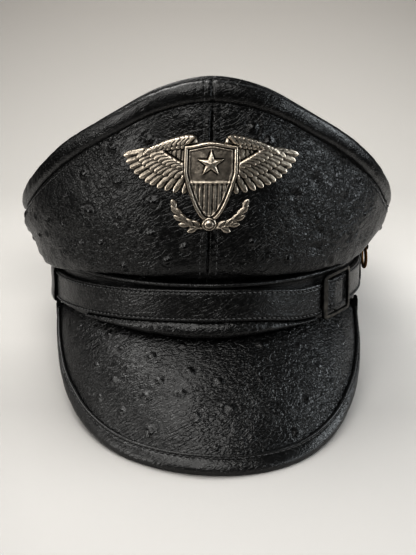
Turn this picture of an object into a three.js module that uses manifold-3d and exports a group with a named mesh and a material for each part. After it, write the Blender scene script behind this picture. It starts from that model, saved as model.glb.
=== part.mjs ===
// A peaked captain cap in black leather. It has a soft crown that stands high in front, a padded
// roll round its rim, a level head band with a buckled strap, a bound peak and a cast winged badge.
//
// Units are millimetres. Every piece is first placed as worn: the head band is level, the front is
// towards -Y, +X is the wearer's left, and the front of the band's lower edge is at height zero.
// The whole cap is then tipped back until the peak's front and the band's back stand on the floor,
// z = 0, with the origin at the middle of the cap's footprint.
//
// Most places are given as an angle round the head (0 in front, 90 at the wearer's left, 180
// behind), a distance out from the band's outer face and a height up.

import * as THREE from "three";
import { mergeVertices } from "three/addons/utils/BufferGeometryUtils.js";
import Module from "manifold-3d";

const wasm = await Module();
wasm.setup();

const DEGREE = Math.PI / 180;

// Clearances
const fitGap = 0.3; // between pieces that touch
const seamGap = 0.4; // between the two crown panels at their seams
const restPress = 1.1; // how far the leather is flattened where it stands on the floor

// Head band
const bandHalfWidth = 84; // outer face, ear to ear
const bandHalfLength = 101; // outer face, front to back
const bandHeight = 29; // top edge
const bandWall = 2.6;
const bandSole = 3.4; // lower edge at the sides and back
const dipAngle = 46; // the lower edge dips to zero within this angle of the front
const bandBead = 0.9; // how far the folded top edge stands out
const bandBeadTall = 2.2;

// Crown
const crownFront = 134; // crest of the rim in front
const crownFlare = 19.5; // how far the rim stands outside the band at the sides
const crownTwist = 1.8; // the soft crown sits turned on the band by this many degrees at its rim
const crownWall = 2;
const crownTuck = 9; // depth of the hem behind the band's top edge
const crownLift = 3.4; // height at which the leather passes over the band's top edge
const sideSlump = 9.8; // how much lower the soft crown hangs at the wearer's right
const slumpAngle = 62; // how far round that slump reaches
const slumpSwell = 0.25; // how much further out it hangs for each millimetre lower
const crownFull = 1.1; // how much the crown's side swells between belly and roll
const dentFade = 4; // dents fade in over this distance out from the band
const rollTall = 11;
const rollThick = 6.4;
const topWall = 2;
const topBead = 1.5; // how far the top's piped edge stands above the roll
const topBeadWide = 3;
const topSag = 5; // how far the middle of the top sinks

// Strap and its loops
const strapWide = 17;
const strapThick = 2;
const strapRound = 0.7; // how much its edges are rounded off
const strapBelowBead = 0.7; // its upper edge in front, below the band's folded edge
const strapDroopRight = 6; // how much lower the strap runs at the wearer's right side
const strapDroopLeft = 1.8;
const strapSag = 3; // how far it sags in front of the buckle
const strapSagAngle = 37;
const strapSagWide = 14; // spread of that sag, in degrees
const strapLapAngle = 12; // half the lap behind
const strapRiseAngle = 12; // stretch in which the outer end climbs on to the lap
const barHoldAngle = 1.9; // the strap lies flat over the buckle's middle bar for this much each way
const barClimbAngle = 3.2; // and climbs on to it in this stretch
const loopWide = 12;
const loopThick = 1.6;
const loopSoleShare = 0.7; // the leather is pressed to this share of its thickness under the band
const rightLoopGap = 2; // from the peak's corner to the right loop, in degrees
const leftLoopGap = 20; // from the peak's corner to the left loop, in degrees
const loopFoot = 4.2; // height of the foot above the strap
const loopLeg = 6; // height of the leg behind the band
const loopBend = 1.3; // how far above the strap the foot leaves the band
const loopTurn = 1.4; // how far out from the band it turns under

// Buckle
const buckleMiddle = 53; // the angle of its middle
const buckleSpan = 17; // the angle it takes up
const buckleSlack = 1.5; // room between the strap's edge and each rail
const buckleRail = 2; // height of the upper and lower rails
const buckleBar = 2.4; // width of the front bar, in degrees
const buckleRearBar = 1.5; // width of the rear bar, in degrees
const buckleMidBar = 1.8; // width of the middle bar, in degrees
const buckleThick = 1.6;
const midBarThick = 1.5;

// Ring and the tab that holds it
const ringRadius = 6;
const ringWire = 0.9; // radius of the wire
const ringClear = 1.7; // between the ring and the loop behind it
const tabWide = 3.2;
const tabHoleClear = 0.55; // room round the wire in the tab's hole
const tabRim = 0.95; // leather left round the hole
const tabArm = 1.8; // height of the arm that joins the band's top edge
const tabDrop = 3.9; // the hole's middle below the band's top edge
const tabInset = 0.2; // the arm's upper face below the band's top edge

// Peak
const peakAngle = 72; // the peak is sewn in from this angle to the front, on both sides
const peakHalfWidth = 81.4;
const peakStart = 28; // how far in front of the ears the peak's edge begins
const peakReach = 117; // from there to the peak's front
const peakDrop = 56.2; // the front edge below the band's front edge
const peakShift = 2; // how far its edge sits to the wearer's left
const peakSkew = 3; // how much further its left half reaches than its right half
const skewDrop = 0.27; // drop for each millimetre of that reach, which keeps the edge on the floor
const peakWall = 2.4;
const peakFlange = 8; // depth of the edge sewn in behind the band
const peakBow = 9;
const bindingLip = 7.5; // width of the binding on each face
const bindingWall = 1.2;
const bindingNose = 2.6; // how far the binding stands out past the peak's edge
const bindingPlump = 0.4; // how much its folded edge swells on each face
const bindingGap = 0.45; // between the binding and the peak inside it

// Welt over the joint of band and peak
const weltThick = 3;
const weltTall = 8;
const weltRightEnd = 48; // how far round it reaches at the wearer's right
const weltBuckleGap = 2.5; // it stops this many degrees in front of the buckle

// Badge
const badgeBelowCrest = 51; // its middle below the crest of the rim in front
const badgeGap = 0.6; // its back above the leather
const wingReach = 43; // from the badge's middle to the longest feather's tip
const wingTall = 23; // the shoulder above the badge's middle
const quillCount = 7; // long feathers in each wing
const quillWide = 5.6;
const quillArch = 1.2; // how far each feather is bent upwards
const quillHigh = 1.75; // its rib above its back
const webHigh = 3; // the short feathers that cover the roots
const shoulderHigh = 3.6;
const layerStep = 0.12; // neighbours lie this much above each other
const sprayReach = 17;
const sprayDrop = 24; // the stem's lowest point below the badge's middle
const stemWide = 1.5;
const stemHigh = 1.7;
const leafCount = 4; // leaves in each spray
const leafLong = 7.5;
const leafWide = 3.6;
const leafHigh = 2.4;
const leafTurn = 1; // how far the lowest leaf turns off its stem, in radians
const shieldWide = 27;
const shieldTop = 20; // its upper edge above the badge's middle
const shieldDrop = 20; // its point below the badge's middle
const shieldRim = 1.8;
const shieldPeak = 1; // how far its upper edge rises in the middle and sinks between
const shieldHigh = 3.2;
const shieldSink = 0.8; // its field lies this much below the rim
const starOut = 7.4; // radius of the star's points
const starIn = 2.9; // radius between them
const starHigh = 1.6; // its middle above the shield's rim
const starPoints = 5;
const bossRadius = 4.2;
const bossHigh = 3.6;
const bossCorners = 4;

// Angles are stepped alike in all pieces that lie on each other, so that their flats match
const coarseStep = 6;

// Shape of the crown. Each row is an angle round the head, and is read alike on both sides.
// crest, lipUp and bellyUp are heights as shares of crownFront, the rest lie out from the band as
// shares of crownFlare: the lowest fold over the band, the belly above it and the rim's outer face.
const crownRows = [
  { angle: 0, crest: 1.0, flare: 0.39, lipOut: 0.23, lipUp: 0.278, bellyOut: 0.37, bellyUp: 0.4 },
  { angle: 17, crest: 0.96, flare: 0.46, lipOut: 0.27, lipUp: 0.25, bellyOut: 0.44, bellyUp: 0.385 },
  { angle: 34, crest: 0.857, flare: 0.58, lipOut: 0.31, lipUp: 0.24, bellyOut: 0.54, bellyUp: 0.36 },
  { angle: 51, crest: 0.738, flare: 0.75, lipOut: 0.34, lipUp: 0.236, bellyOut: 0.63, bellyUp: 0.34 },
  { angle: 64, crest: 0.627, flare: 0.87, lipOut: 0.36, lipUp: 0.243, bellyOut: 0.67, bellyUp: 0.325 },
  { angle: 76, crest: 0.53, flare: 0.95, lipOut: 0.345, lipUp: 0.259, bellyOut: 0.7, bellyUp: 0.315 },
  { angle: 90, crest: 0.448, flare: 1.0, lipOut: 0.33, lipUp: 0.264, bellyOut: 0.74, bellyUp: 0.305 },
  { angle: 125, crest: 0.42, flare: 0.85, lipOut: 0.345, lipUp: 0.256, bellyOut: 0.68, bellyUp: 0.3 },
  { angle: 180, crest: 0.435, flare: 0.52, lipOut: 0.28, lipUp: 0.252, bellyOut: 0.44, bellyUp: 0.3 },
];

// Soft dents and swells pressed into the crown. up is a share of crownFront, deep and tall are in
// shares of crownFlare, and a swell has a negative depth.
const crownDents = [
  { angle: 46, up: 0.66, deep: 0.09, wide: 13, tall: 0.6 },
  { angle: 60, up: 0.5, deep: -0.06, wide: 10, tall: 0.5 },
  { angle: 62, up: 0.34, deep: 0.08, wide: 9, tall: 0.35 },
  { angle: -58, up: 0.5, deep: -0.05, wide: 14, tall: 0.7 },
  { angle: -40, up: 0.36, deep: 0.05, wide: 12, tall: 0.4 },
  { angle: 150, up: 0.36, deep: 0.07, wide: 14, tall: 0.4 },
  { angle: -146, up: 0.37, deep: 0.07, wide: 14, tall: 0.4 },
];

// Section of the welt: shares of its thickness and of its height.
const weltRows = [
  { out: 0, up: 0.12 },
  { out: 0.45, up: 0 },
  { out: 0.9, up: 0.2 },
  { out: 1, up: 0.5 },
  { out: 0.8, up: 0.82 },
  { out: 0.4, up: 1 },
  { out: 0, up: 1 },
];

// Curves of a wing, from one end over a bend to the other: shares of wingReach and of wingTall.
const wingRows = {
  roots: [{ x: 0.58, y: 0.7 }, { x: 0.4, y: 0.48 }, { x: 0.19, y: 0.26 }],
  tips: [{ x: 1, y: 0.52 }, { x: 0.84, y: -0.17 }, { x: 0.31, y: -0.26 }],
  shoulder: [{ x: 0.19, y: 1 }, { x: 0.47, y: 0.93 }, { x: 0.72, y: 0.65 }],
  web: [{ x: 0.6, y: 0.67 }, { x: 0.44, y: 0.57 }, { x: 0.19, y: 0.39 }],
};

// The stem of a spray: shares of sprayReach and of sprayDrop.
const stemRows = [{ x: 0.12, y: -0.96 }, { x: 0.7, y: -1 }, { x: 1, y: -0.54 }];

// Shapes of feathers and leaves: the share of the length, the width there as a share of the full
// width, and the heights of the two edges and of the rib as shares of the full height.
const quillRows = [
  { at: 0, wide: 0.7, left: 0.91, rib: 1, right: 0.51 },
  { at: 0.72, wide: 1, left: 0.91, rib: 1, right: 0.51 },
  { at: 1, wide: 0.35, left: 0.64, rib: 0.7, right: 0.36 },
];
const webRows = [
  { at: 0, wide: 1.05, left: 0.8, rib: 1, right: 0.8 },
  { at: 0.5, wide: 2.3, left: 0.8, rib: 1, right: 0.8 },
  { at: 1, wide: 3, left: 0.8, rib: 1, right: 0.8 },
];
const shoulderRows = [
  { at: 0, wide: 0.9, left: 0.53, rib: 0.89, right: 0.53 },
  { at: 0.5, wide: 1.07, left: 0.6, rib: 1, right: 0.6 },
  { at: 1, wide: 0.36, left: 0.4, rib: 0.67, right: 0.4 },
];
const leafRows = [
  { at: 0, wide: 0.39, left: 0.38, rib: 0.75, right: 0.38 },
  { at: 0.45, wide: 1, left: 0.38, rib: 1, right: 0.38 },
  { at: 1, wide: 0.14, left: 0.38, rib: 0.58, right: 0.38 },
];
const evenRows = [
  { at: 0, wide: 1, left: 0.65, rib: 1, right: 0.65 },
  { at: 0.5, wide: 1, left: 0.65, rib: 1, right: 0.65 },
  { at: 1, wide: 1, left: 0.65, rib: 1, right: 0.65 },
];

// Outer edge of the peak, in equal steps of the angle at which each section leaves the band, from
// the front to the corner: shares of peakHalfWidth, peakReach and the drop of the front edge.
const peakRows = [
  { side: 0, forward: 1, down: 1 },
  { side: 0.3, forward: 0.962, down: 0.991 },
  { side: 0.57, forward: 0.855, down: 0.943 },
  { side: 0.775, forward: 0.69, down: 0.825 },
  { side: 0.915, forward: 0.475, down: 0.637 },
  { side: 0.985, forward: 0.24, down: 0.38 },
  { side: 1.0, forward: 0.03, down: 0.09 },
];

// Small helpers

function clamp01(value) {
  return Math.min(Math.max(value, 0), 1);
}

function smoothStep(value) {
  const t = clamp01(value);
  return t * t * (3 - 2 * t);
}

function stepsFrom(from, to, step) {
  const count = Math.max(1, Math.round((to - from) / step));
  return Array.from({ length: count + 1 }, (_, i) => from + ((to - from) * i) / count);
}

// A smooth curve through one column of a table, level at both ends.
function readRows(rows, key, column, at) {
  let i = 0;
  while (i < rows.length - 2 && at > rows[i + 1][key]) {
    i += 1;
  }
  const slope = (a, b) => (rows[b][column] - rows[a][column]) / (rows[b][key] - rows[a][key]);
  const span = rows[i + 1][key] - rows[i][key];
  const t = clamp01((at - rows[i][key]) / span);
  const slopeHere = i === 0 ? 0 : slope(i - 1, i + 1);
  const slopeNext = i === rows.length - 2 ? 0 : slope(i, i + 2);
  const t2 = t * t;
  const t3 = t2 * t;
  return (
    (2 * t3 - 3 * t2 + 1) * rows[i][column] +
    (t3 - 2 * t2 + t) * span * slopeHere +
    (3 * t2 - 2 * t3) * rows[i + 1][column] +
    (t3 - t2) * span * slopeNext
  );
}

// The point at an angle round the head, out from the band's outer face and up.
function place(angle, out, up) {
  const a = angle * DEGREE;
  return new THREE.Vector3(
    (bandHalfWidth + out) * Math.sin(a),
    -(bandHalfLength + out) * Math.cos(a),
    up
  );
}

// Solids

// Closes a row of rings into a solid. Each ring has the same number of points. A loop of rings has
// no ends, and otherwise both ends are capped with the given triangles of a ring's own points.
function skin(rings, capFaces) {
  const size = rings[0].length;
  const positions = rings.flat().flatMap((p) => [p.x, p.y, p.z]);
  const faces = [];
  const lastRing = rings.length - 1;
  const ringPairs = capFaces ? lastRing : lastRing + 1;
  for (let r = 0; r < ringPairs; r += 1) {
    const here = r * size;
    const next = ((r + 1) % rings.length) * size;
    for (let k = 0; k < size; k += 1) {
      const k2 = (k + 1) % size;
      faces.push(here + k, here + k2, next + k2, here + k, next + k2, next + k);
    }
  }
  if (capFaces) {
    for (const [a, b, c] of capFaces) {
      faces.push(a, c, b);
      faces.push(lastRing * size + a, lastRing * size + b, lastRing * size + c);
    }
  }
  const geometry = new THREE.BufferGeometry();
  geometry.setAttribute("position", new THREE.Float32BufferAttribute(positions, 3));
  geometry.setIndex(faces);
  if (signedVolume(geometry) < 0) {
    for (let i = 0; i < faces.length; i += 3) {
      [faces[i + 1], faces[i + 2]] = [faces[i + 2], faces[i + 1]];
    }
    geometry.setIndex(faces);
  }
  return geometry;
}

function signedVolume(geometry) {
  const position = geometry.getAttribute("position");
  const index = geometry.getIndex();
  const corner = (i) => new THREE.Vector3().fromBufferAttribute(position, index.getX(i));
  let total = 0;
  for (let i = 0; i < index.count; i += 3) {
    total += corner(i).dot(corner(i + 1).cross(corner(i + 2))) / 6;
  }
  return total;
}

// Cap of a ring that is the outline of a flat section, counter-clockwise or clockwise.
function sectionCap(section) {
  const faces = THREE.ShapeUtils.triangulateShape(section, []);
  return THREE.ShapeUtils.area(section) < 0 ? faces.map(([a, b, c]) => [a, c, b]) : faces;
}

// Cap of a ring that runs along one face of a wall and back along the other.
function wallCap(size) {
  const faces = [];
  for (let k = 0; k < size / 2 - 1; k += 1) {
    const back = size - 1 - k;
    faces.push([k, k + 1, back], [k + 1, back - 1, back]);
  }
  return faces;
}

// A section of (out, up) points, carried round the head through the given angles.
function sweepRound(angles, sectionAt, isLoop = false, put = place) {
  const rings = angles.map((angle) => sectionAt(angle).map((p) => put(angle, p.x, p.y)));
  return skin(rings, isLoop ? null : sectionCap(sectionAt(angles[0])));
}

function fullRound(step) {
  return stepsFrom(0, 360, step).slice(0, -1);
}

// Points of a curved face, faceAt(u, v), along one u, and of the wall's other face behind them.
function wallSection(faceAt, u, vs, wall) {
  const reach = 1e-3;
  const front = vs.map((v) => faceAt(u, v));
  const back = vs.map((v, i) => {
    const alongU = faceAt(u + reach, v).sub(faceAt(u - reach, v));
    const alongV = faceAt(u, Math.min(v + reach, 1)).sub(faceAt(u, Math.max(v - reach, 0)));
    return front[i].clone().addScaledVector(alongU.cross(alongV).normalize(), wall);
  });
  return { front, back };
}

function wallBehind(faceAt, us, vs, wall) {
  const rings = us.map((u) => {
    const { front, back } = wallSection(faceAt, u, vs, wall);
    return [...front, ...back.reverse()];
  });
  return skin(rings, wallCap(rings[0].length));
}

function toManifold(geometry) {
  const bare = geometry.clone();
  bare.deleteAttribute("normal");
  bare.deleteAttribute("uv");
  const merged = mergeVertices(bare, 1e-4);
  const vertProperties = Float32Array.from(merged.getAttribute("position").array);
  const triVerts = Uint32Array.from(merged.getIndex().array);
  return new wasm.Manifold(new wasm.Mesh({ numProp: 3, vertProperties, triVerts }));
}

function fromManifold(solid) {
  const mesh = solid.getMesh();
  const geometry = new THREE.BufferGeometry();
  geometry.setAttribute("position", new THREE.Float32BufferAttribute(mesh.vertProperties, 3));
  geometry.setIndex(Array.from(mesh.triVerts));
  return geometry;
}

// Head band

function bandLow(angle) {
  const turn = Math.abs(THREE.MathUtils.euclideanModulo(angle + 180, 360) - 180);
  return bandSole * smoothStep(turn / dipAngle);
}

function bandSection(angle) {
  const beadLow = bandHeight - bandBeadTall;
  return [
    new THREE.Vector2(-bandWall, bandLow(angle)),
    new THREE.Vector2(0, bandLow(angle)),
    new THREE.Vector2(0, beadLow),
    new THREE.Vector2(bandBead, beadLow + bandBead / 2),
    new THREE.Vector2(bandBead, bandHeight - bandBead / 2),
    new THREE.Vector2(0, bandHeight),
    new THREE.Vector2(-bandWall, bandHeight),
  ];
}

function makeBand() {
  return sweepRound(fullRound(coarseStep), bandSection, true);
}

// Crown

function crownColumn(column, angle) {
  const turn = Math.abs(THREE.MathUtils.euclideanModulo(angle + 180, 360) - 180);
  return readRows(crownRows, "angle", column, turn);
}

function slumpAt(angle) {
  const turn = Math.abs(THREE.MathUtils.euclideanModulo(angle + 90 + 180, 360) - 180);
  return sideSlump * smoothStep(1 - turn / slumpAngle);
}

function crestUp(angle) {
  return crownFront * crownColumn("crest", angle);
}

function rimOut(angle) {
  return crownFlare * crownColumn("flare", angle);
}

// The crown sits turned on the band, fully so at its rim and not at all at its hem.
function placeOnCrown(angle, out, up) {
  const rise = (up - bandHeight) / (crestUp(angle) - rollTall - bandHeight);
  return place(angle + crownTwist * clamp01(rise), out, up);
}

// Profile of a crown panel's outer face at one angle, from the groove under the roll to the hem.
function crownProfile(angle) {
  const slump = slumpAt(angle);
  const hemOut = -(bandWall + fitGap);
  const overBand = bandHeight + crownLift;
  const lipOut = crownFlare * crownColumn("lipOut", angle) + slump * slumpSwell;
  const lipUp = crownFront * crownColumn("lipUp", angle) - slump;
  const bellyOut = crownFlare * crownColumn("bellyOut", angle);
  const bellyUp = crownFront * crownColumn("bellyUp", angle) - slump / 2;
  const grooveOut = rimOut(angle) - rollThick / 2;
  const grooveUp = crestUp(angle) - rollTall - fitGap;
  const corners = [
    [grooveOut, grooveUp],
    [(bellyOut + grooveOut) / 2 + crownFull + slump * slumpSwell, (bellyUp + grooveUp) / 2],
    [bellyOut, bellyUp],
    [lipOut, lipUp],
    [bandBead + fitGap, overBand],
    [hemOut, bandHeight],
    [hemOut, bandHeight - crownTuck],
  ];
  const points = corners.map(([out, up]) => new THREE.Vector3(out, up, 0));
  return new THREE.CatmullRomCurve3(points, false, "centripetal");
}

function dentAt(angle, up) {
  let depth = 0;
  for (const dent of crownDents) {
    const across = (angle - dent.angle) / dent.wide;
    const along = (up - dent.up * crownFront) / (dent.tall * crownFlare);
    depth += dent.deep * crownFlare * Math.exp(-across * across - along * along);
  }
  return depth;
}

// The crown's outer face. The share runs from 0 at the groove to 1 at the hem.
function crownFace(angle, share) {
  const point = crownProfile(angle).getPoint(clamp01(share));
  const clearOfBand = smoothStep((point.x - bandBead) / dentFade);
  return placeOnCrown(angle, point.x - clearOfBand * dentAt(angle, point.y), point.y);
}

// Shares of the profile in sixths, one for each corner of it: wide steps on the side of the
// crown, and close ones where the leather turns over the band.
const crownShares = [0, 0.6, 1.3, 2, 2.5, 3, 3.5, 4, 4.5, 5, 6].map((sixths) => sixths / 6);

function makeCrownPanel(side) {
  const seamAngle = seamGap / 2 / (bandHalfWidth + crownFlare) / DEGREE;
  const turns = stepsFrom(0, 180, coarseStep);
  turns[0] = seamAngle;
  turns[turns.length - 1] = 180 - seamAngle;
  const angles = side > 0 ? turns : turns.map((a) => -a).reverse();
  return wallBehind(crownFace, angles, crownShares, crownWall);
}

// The padded roll: an upright oval that follows the rim.
function rollSection(angle) {
  const corners = 8;
  const middle = new THREE.Vector2(rimOut(angle) - rollThick / 2, crestUp(angle) - rollTall / 2);
  return Array.from({ length: corners }, (_, i) => {
    const a = ((i + 0.5) / corners) * 2 * Math.PI;
    const fullness = 1.06; // squares the oval a little
    const across = clampTo(fullness * Math.cos(a), 1) * (rollThick / 2);
    const along = clampTo(fullness * Math.sin(a), 1) * (rollTall / 2);
    return new THREE.Vector2(middle.x + across, middle.y + along);
  });
}

function clampTo(value, limit) {
  return Math.max(-limit, Math.min(limit, value));
}

function makeRoll() {
  return sweepRound(fullRound(coarseStep), rollSection, true, placeOnCrown);
}

// Waves of the rim's height round the head, so that the top can be drawn taut between them.
function rimWaves(count) {
  const samples = 180;
  const waves = new Array(count).fill(0);
  for (let i = 0; i < samples; i += 1) {
    const angle = ((i + 0.5) / samples) * 180;
    for (let k = 0; k < count; k += 1) {
      const weight = k === 0 ? 1 : 2;
      waves[k] += (weight * crestUp(angle) * Math.cos(k * angle * DEGREE)) / samples;
    }
  }
  return waves;
}

const topWaves = rimWaves(8);

// Height of the top: a taut sheet hung from the rim, sinking a little in the middle.
function topUp(angle, share) {
  let up = crestUp(angle);
  for (let k = 0; k < topWaves.length; k += 1) {
    up += topWaves[k] * (share ** k - 1) * Math.cos(k * angle * DEGREE);
  }
  return up - topSag * (1 - share * share);
}

function makeTop() {
  const edgeOut = (angle) => rimOut(angle) - rollThick - fitGap;
  const ring = (share, lift, out) =>
    fullRound(coarseStep).map((angle) => {
      const rim = placeOnCrown(angle, edgeOut(angle) + out, crestUp(angle));
      return new THREE.Vector3(rim.x * share, rim.y * share, topUp(angle, share) + lift);
    });
  const shares = [0.15, 0.42, 0.68, 0.9];
  const beadInner = 1 - topBeadWide / (bandHalfWidth + crownFlare);
  const rings = [
    ...shares.map((s) => ring(s, -topBead, 0)),
    ring(beadInner, topBead * 0.6, 0),
    ring(1, topBead, -topBeadWide * 0.35),
    ring(1, topBead * 0.3, 0),
    ring(1, -topBead - topWall, 0),
    ...shares.reverse().map((s) => ring(s, -topBead - topWall, 0)),
  ];
  const flat = rings[0].map((p) => new THREE.Vector2(p.x, p.y));
  return skin(rings, sectionCap(flat));
}

// Strap

const strapFrontUp = bandHeight - bandBeadTall - strapBelowBead - strapWide / 2;
const buckleFrom = buckleMiddle - buckleSpan / 2;
const buckleTo = buckleMiddle + buckleSpan / 2;

function strapUp(angle) {
  const fromSag = (angle - strapSagAngle) / strapSagWide;
  const droop = angle < 0 ? strapDroopRight : strapDroopLeft;
  const sag = strapSag * Math.exp(-fromSag * fromSag);
  return strapFrontUp - droop * Math.sin(angle * DEGREE) ** 2 - sag;
}

// The strap lies on the band, climbs over the buckle's middle bar and over its own lap behind.
function strapOut(angle) {
  const pastBar = Math.abs(angle - buckleMiddle) - barHoldAngle;
  const overBar = smoothStep(1 - pastBar / barClimbAngle);
  const overLap = smoothStep((angle - (180 - strapLapAngle - strapRiseAngle)) / strapRiseAngle);
  const climbBar = midBarThick + fitGap;
  return fitGap + overBar * climbBar + overLap * (strapThick + fitGap);
}

function strapSection(angle) {
  const inner = strapOut(angle);
  const half = strapWide / 2;
  const middle = strapUp(angle);
  return [
    new THREE.Vector2(inner, middle - half),
    new THREE.Vector2(inner + strapThick - strapRound, middle - half),
    new THREE.Vector2(inner + strapThick, middle - half + strapRound),
    new THREE.Vector2(inner + strapThick, middle + half - strapRound),
    new THREE.Vector2(inner + strapThick - strapRound, middle + half),
    new THREE.Vector2(inner, middle + half),
  ];
}

function makeStrap() {
  const end = 180 + strapLapAngle;
  const fineReach = barHoldAngle + barClimbAngle + coarseStep;
  const beforeBar = buckleMiddle - fineReach;
  const afterBar = buckleMiddle + fineReach;
  const angles = [
    ...stepsFrom(-end, beforeBar, coarseStep),
    ...stepsFrom(beforeBar, afterBar, coarseStep / 4).slice(1),
    ...stepsFrom(afterBar, end, coarseStep).slice(1),
  ];
  return sweepRound(angles, strapSection);
}

// A loop of leather that holds the strap. Its foot is sewn to the band above the strap, and it
// passes down over the strap, under the band's lower edge and up behind it.
function loopSection(angle) {
  const face = fitGap + strapThick + fitGap;
  const high = strapUp(angle) + strapWide / 2;
  const low = strapUp(angle) - strapWide / 2;
  const footUp = Math.min(high + loopFoot, bandHeight - bandBeadTall - fitGap);
  const under = Math.min(bandLow(angle), low + strapRound) - fitGap;
  const behind = -(bandWall + fitGap);
  const legUp = bandLow(angle) + loopLeg;
  const underThick = loopThick * loopSoleShare;
  const outline = [
    [fitGap, footUp],
    [fitGap, high + loopBend],
    [face, high - fitGap],
    [face, low + strapRound],
    [fitGap + loopTurn, under],
    [behind, under],
    [behind, legUp],
    [behind - loopThick, legUp],
    [behind - loopThick, under - underThick],
    [fitGap + loopTurn + underThick / 2, under - underThick],
    [face + loopThick, low - fitGap],
    [face + loopThick, high + fitGap],
    [fitGap + loopThick, footUp],
  ];
  return outline.map(([out, up]) => new THREE.Vector2(out, up));
}

const loopHalfAngle = loopWide / 2 / bandHalfWidth / DEGREE;
const rightLoopAngle = -(peakAngle + rightLoopGap + loopHalfAngle);
const leftLoopAngle = peakAngle + leftLoopGap + loopHalfAngle;

function makeLoop(middle) {
  return sweepRound([middle - loopHalfAngle, middle, middle + loopHalfAngle], loopSection);
}

// Buckle: a three-bar slide, bent to the band. The strap goes under the outer bars and over the
// middle one.

function bentBlock(from, to, outFrom, outTo, upFrom, upTo) {
  const section = (angle) => [
    new THREE.Vector2(outFrom, strapUp(angle) + upFrom),
    new THREE.Vector2(outTo, strapUp(angle) + upFrom),
    new THREE.Vector2(outTo, strapUp(angle) + upTo),
    new THREE.Vector2(outFrom, strapUp(angle) + upTo),
  ];
  return toManifold(sweepRound(stepsFrom(from, to, 2.5), section));
}

function makeBuckle() {
  const back = bandBead + fitGap;
  const underBars = fitGap + strapThick + fitGap;
  const face = underBars + buckleThick;
  const inside = strapWide / 2 + buckleSlack;
  const halfTall = inside + buckleRail;
  const past = 2; // cutters run this far past what they cut
  const whole = bentBlock(buckleFrom, buckleTo, back, face, -halfTall, halfTall);
  const windowFrom = buckleFrom + buckleBar;
  const windowTo = buckleTo - buckleRearBar;
  const window = bentBlock(windowFrom, windowTo, -past, face + past, -inside, inside);
  const strapWay = bentBlock(buckleFrom - past, buckleTo + past, -past, underBars, -inside, inside);
  const middleFrom = buckleMiddle - buckleMidBar / 2;
  const middleTo = buckleMiddle + buckleMidBar / 2;
  const reach = inside + fitGap;
  const middle = bentBlock(middleFrom, middleTo, fitGap, fitGap + midBarThick, -reach, reach);
  return fromManifold(whole.subtract(window).subtract(strapWay).add(middle));
}

// Ring and tab

const tabHoleUp = bandHeight - tabDrop;
const ringOut = fitGap + strapThick + fitGap + loopThick + ringClear + ringWire;

function atLeftLoop(geometry) {
  const where = place(leftLoopAngle, 0, 0);
  return mergeBare(geometry.rotateZ(leftLoopAngle * DEGREE).translate(where.x, where.y, where.z));
}

function mergeBare(geometry) {
  return fromManifold(toManifold(geometry));
}

function makeRing() {
  const ring = new THREE.TorusGeometry(ringRadius, ringWire, 6, 20);
  return atLeftLoop(ring.rotateX(Math.PI / 2).translate(0, -ringOut, tabHoleUp - ringRadius));
}

// The tab in the plane across the band: a round lobe and an arm back to the band's top edge.
function makeTab() {
  const armOut = bandBead + fitGap;
  const armHigh = bandHeight - tabInset;
  const hole = ringWire + tabHoleClear;
  const outline = new THREE.Shape();
  outline.moveTo(armOut, armHigh - tabArm);
  outline.absarc(ringOut, tabHoleUp, hole + tabRim, Math.PI * 0.84, Math.PI * 2.42, false);
  outline.lineTo(armOut, armHigh);
  outline.closePath();
  const round = new THREE.Path();
  round.absarc(ringOut, tabHoleUp, hole, 0, 2 * Math.PI, true);
  outline.holes.push(round);
  const tab = new THREE.ExtrudeGeometry(outline, {
    depth: tabWide,
    bevelEnabled: false,
    curveSegments: 8,
  });
  return atLeftLoop(tab.translate(0, 0, -tabWide / 2).rotateX(Math.PI / 2).rotateZ(-Math.PI / 2));
}

// Peak

const peakSpan = peakDrop + bandSole; // height from the peak's corners to its front edge

function mirrored(rows) {
  const left = rows.slice(1).reverse();
  return [...left.map((row) => ({ ...row, side: -row.side })), ...rows];
}

const peakEdge = new THREE.CatmullRomCurve3(
  mirrored(peakRows).map(
    (row) =>
      new THREE.Vector3(
        row.side * peakHalfWidth,
        -(peakStart + row.forward * peakReach),
        bandSole - row.down * peakSpan
      )
  ),
  false,
  "centripetal"
);

function peakEdgeAt(u) {
  const point = peakEdge.getPoint(clamp01((u + 1) / 2));
  const skew = peakSkew * Math.sin(Math.PI * u) * (1 - u * u);
  point.x += peakShift * (1 - u ** 4);
  point.y -= skew;
  point.z -= skew * skewDrop;
  return point;
}

// The peak's upper face. u runs from -1 at the wearer's right corner to 1 at the left one, and v
// from 0 at the top of the flange behind the band to 1 at the outer edge.
const flangeShare = 0.12;

function peakFace(u, v) {
  const angle = u * peakAngle;
  const out = -(bandWall + fitGap);
  const bendUp = bandLow(angle) - fitGap;
  if (v < flangeShare) {
    return place(angle, out, bendUp + peakFlange * (1 - v / flangeShare));
  }
  const from = place(angle, out, bendUp);
  const to = peakEdgeAt(u);
  const along = to.clone().sub(from);
  const sideways = place(angle + 1, out, bendUp).sub(place(angle - 1, out, bendUp));
  const outward = along.clone().cross(sideways).normalize();
  if (outward.z < 0) {
    outward.negate();
  }
  const bow = peakBow * clamp01(along.length() / peakDrop);
  const control = from.clone().add(to).multiplyScalar(0.5).addScaledVector(outward, bow);
  const t = (v - flangeShare) / (1 - flangeShare);
  return new THREE.QuadraticBezierCurve3(from, control, to).getPoint(t);
}

const peakStations = stepsFrom(-1, 1, coarseStep / peakAngle);
const slopeShares = stepsFrom(0, 1, 1 / 6).map((t) => flangeShare + t * (1 - flangeShare));
const peakShares = [0, ...slopeShares];

function makePeak() {
  return wallBehind(peakFace, peakStations, peakShares, peakWall);
}

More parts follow.
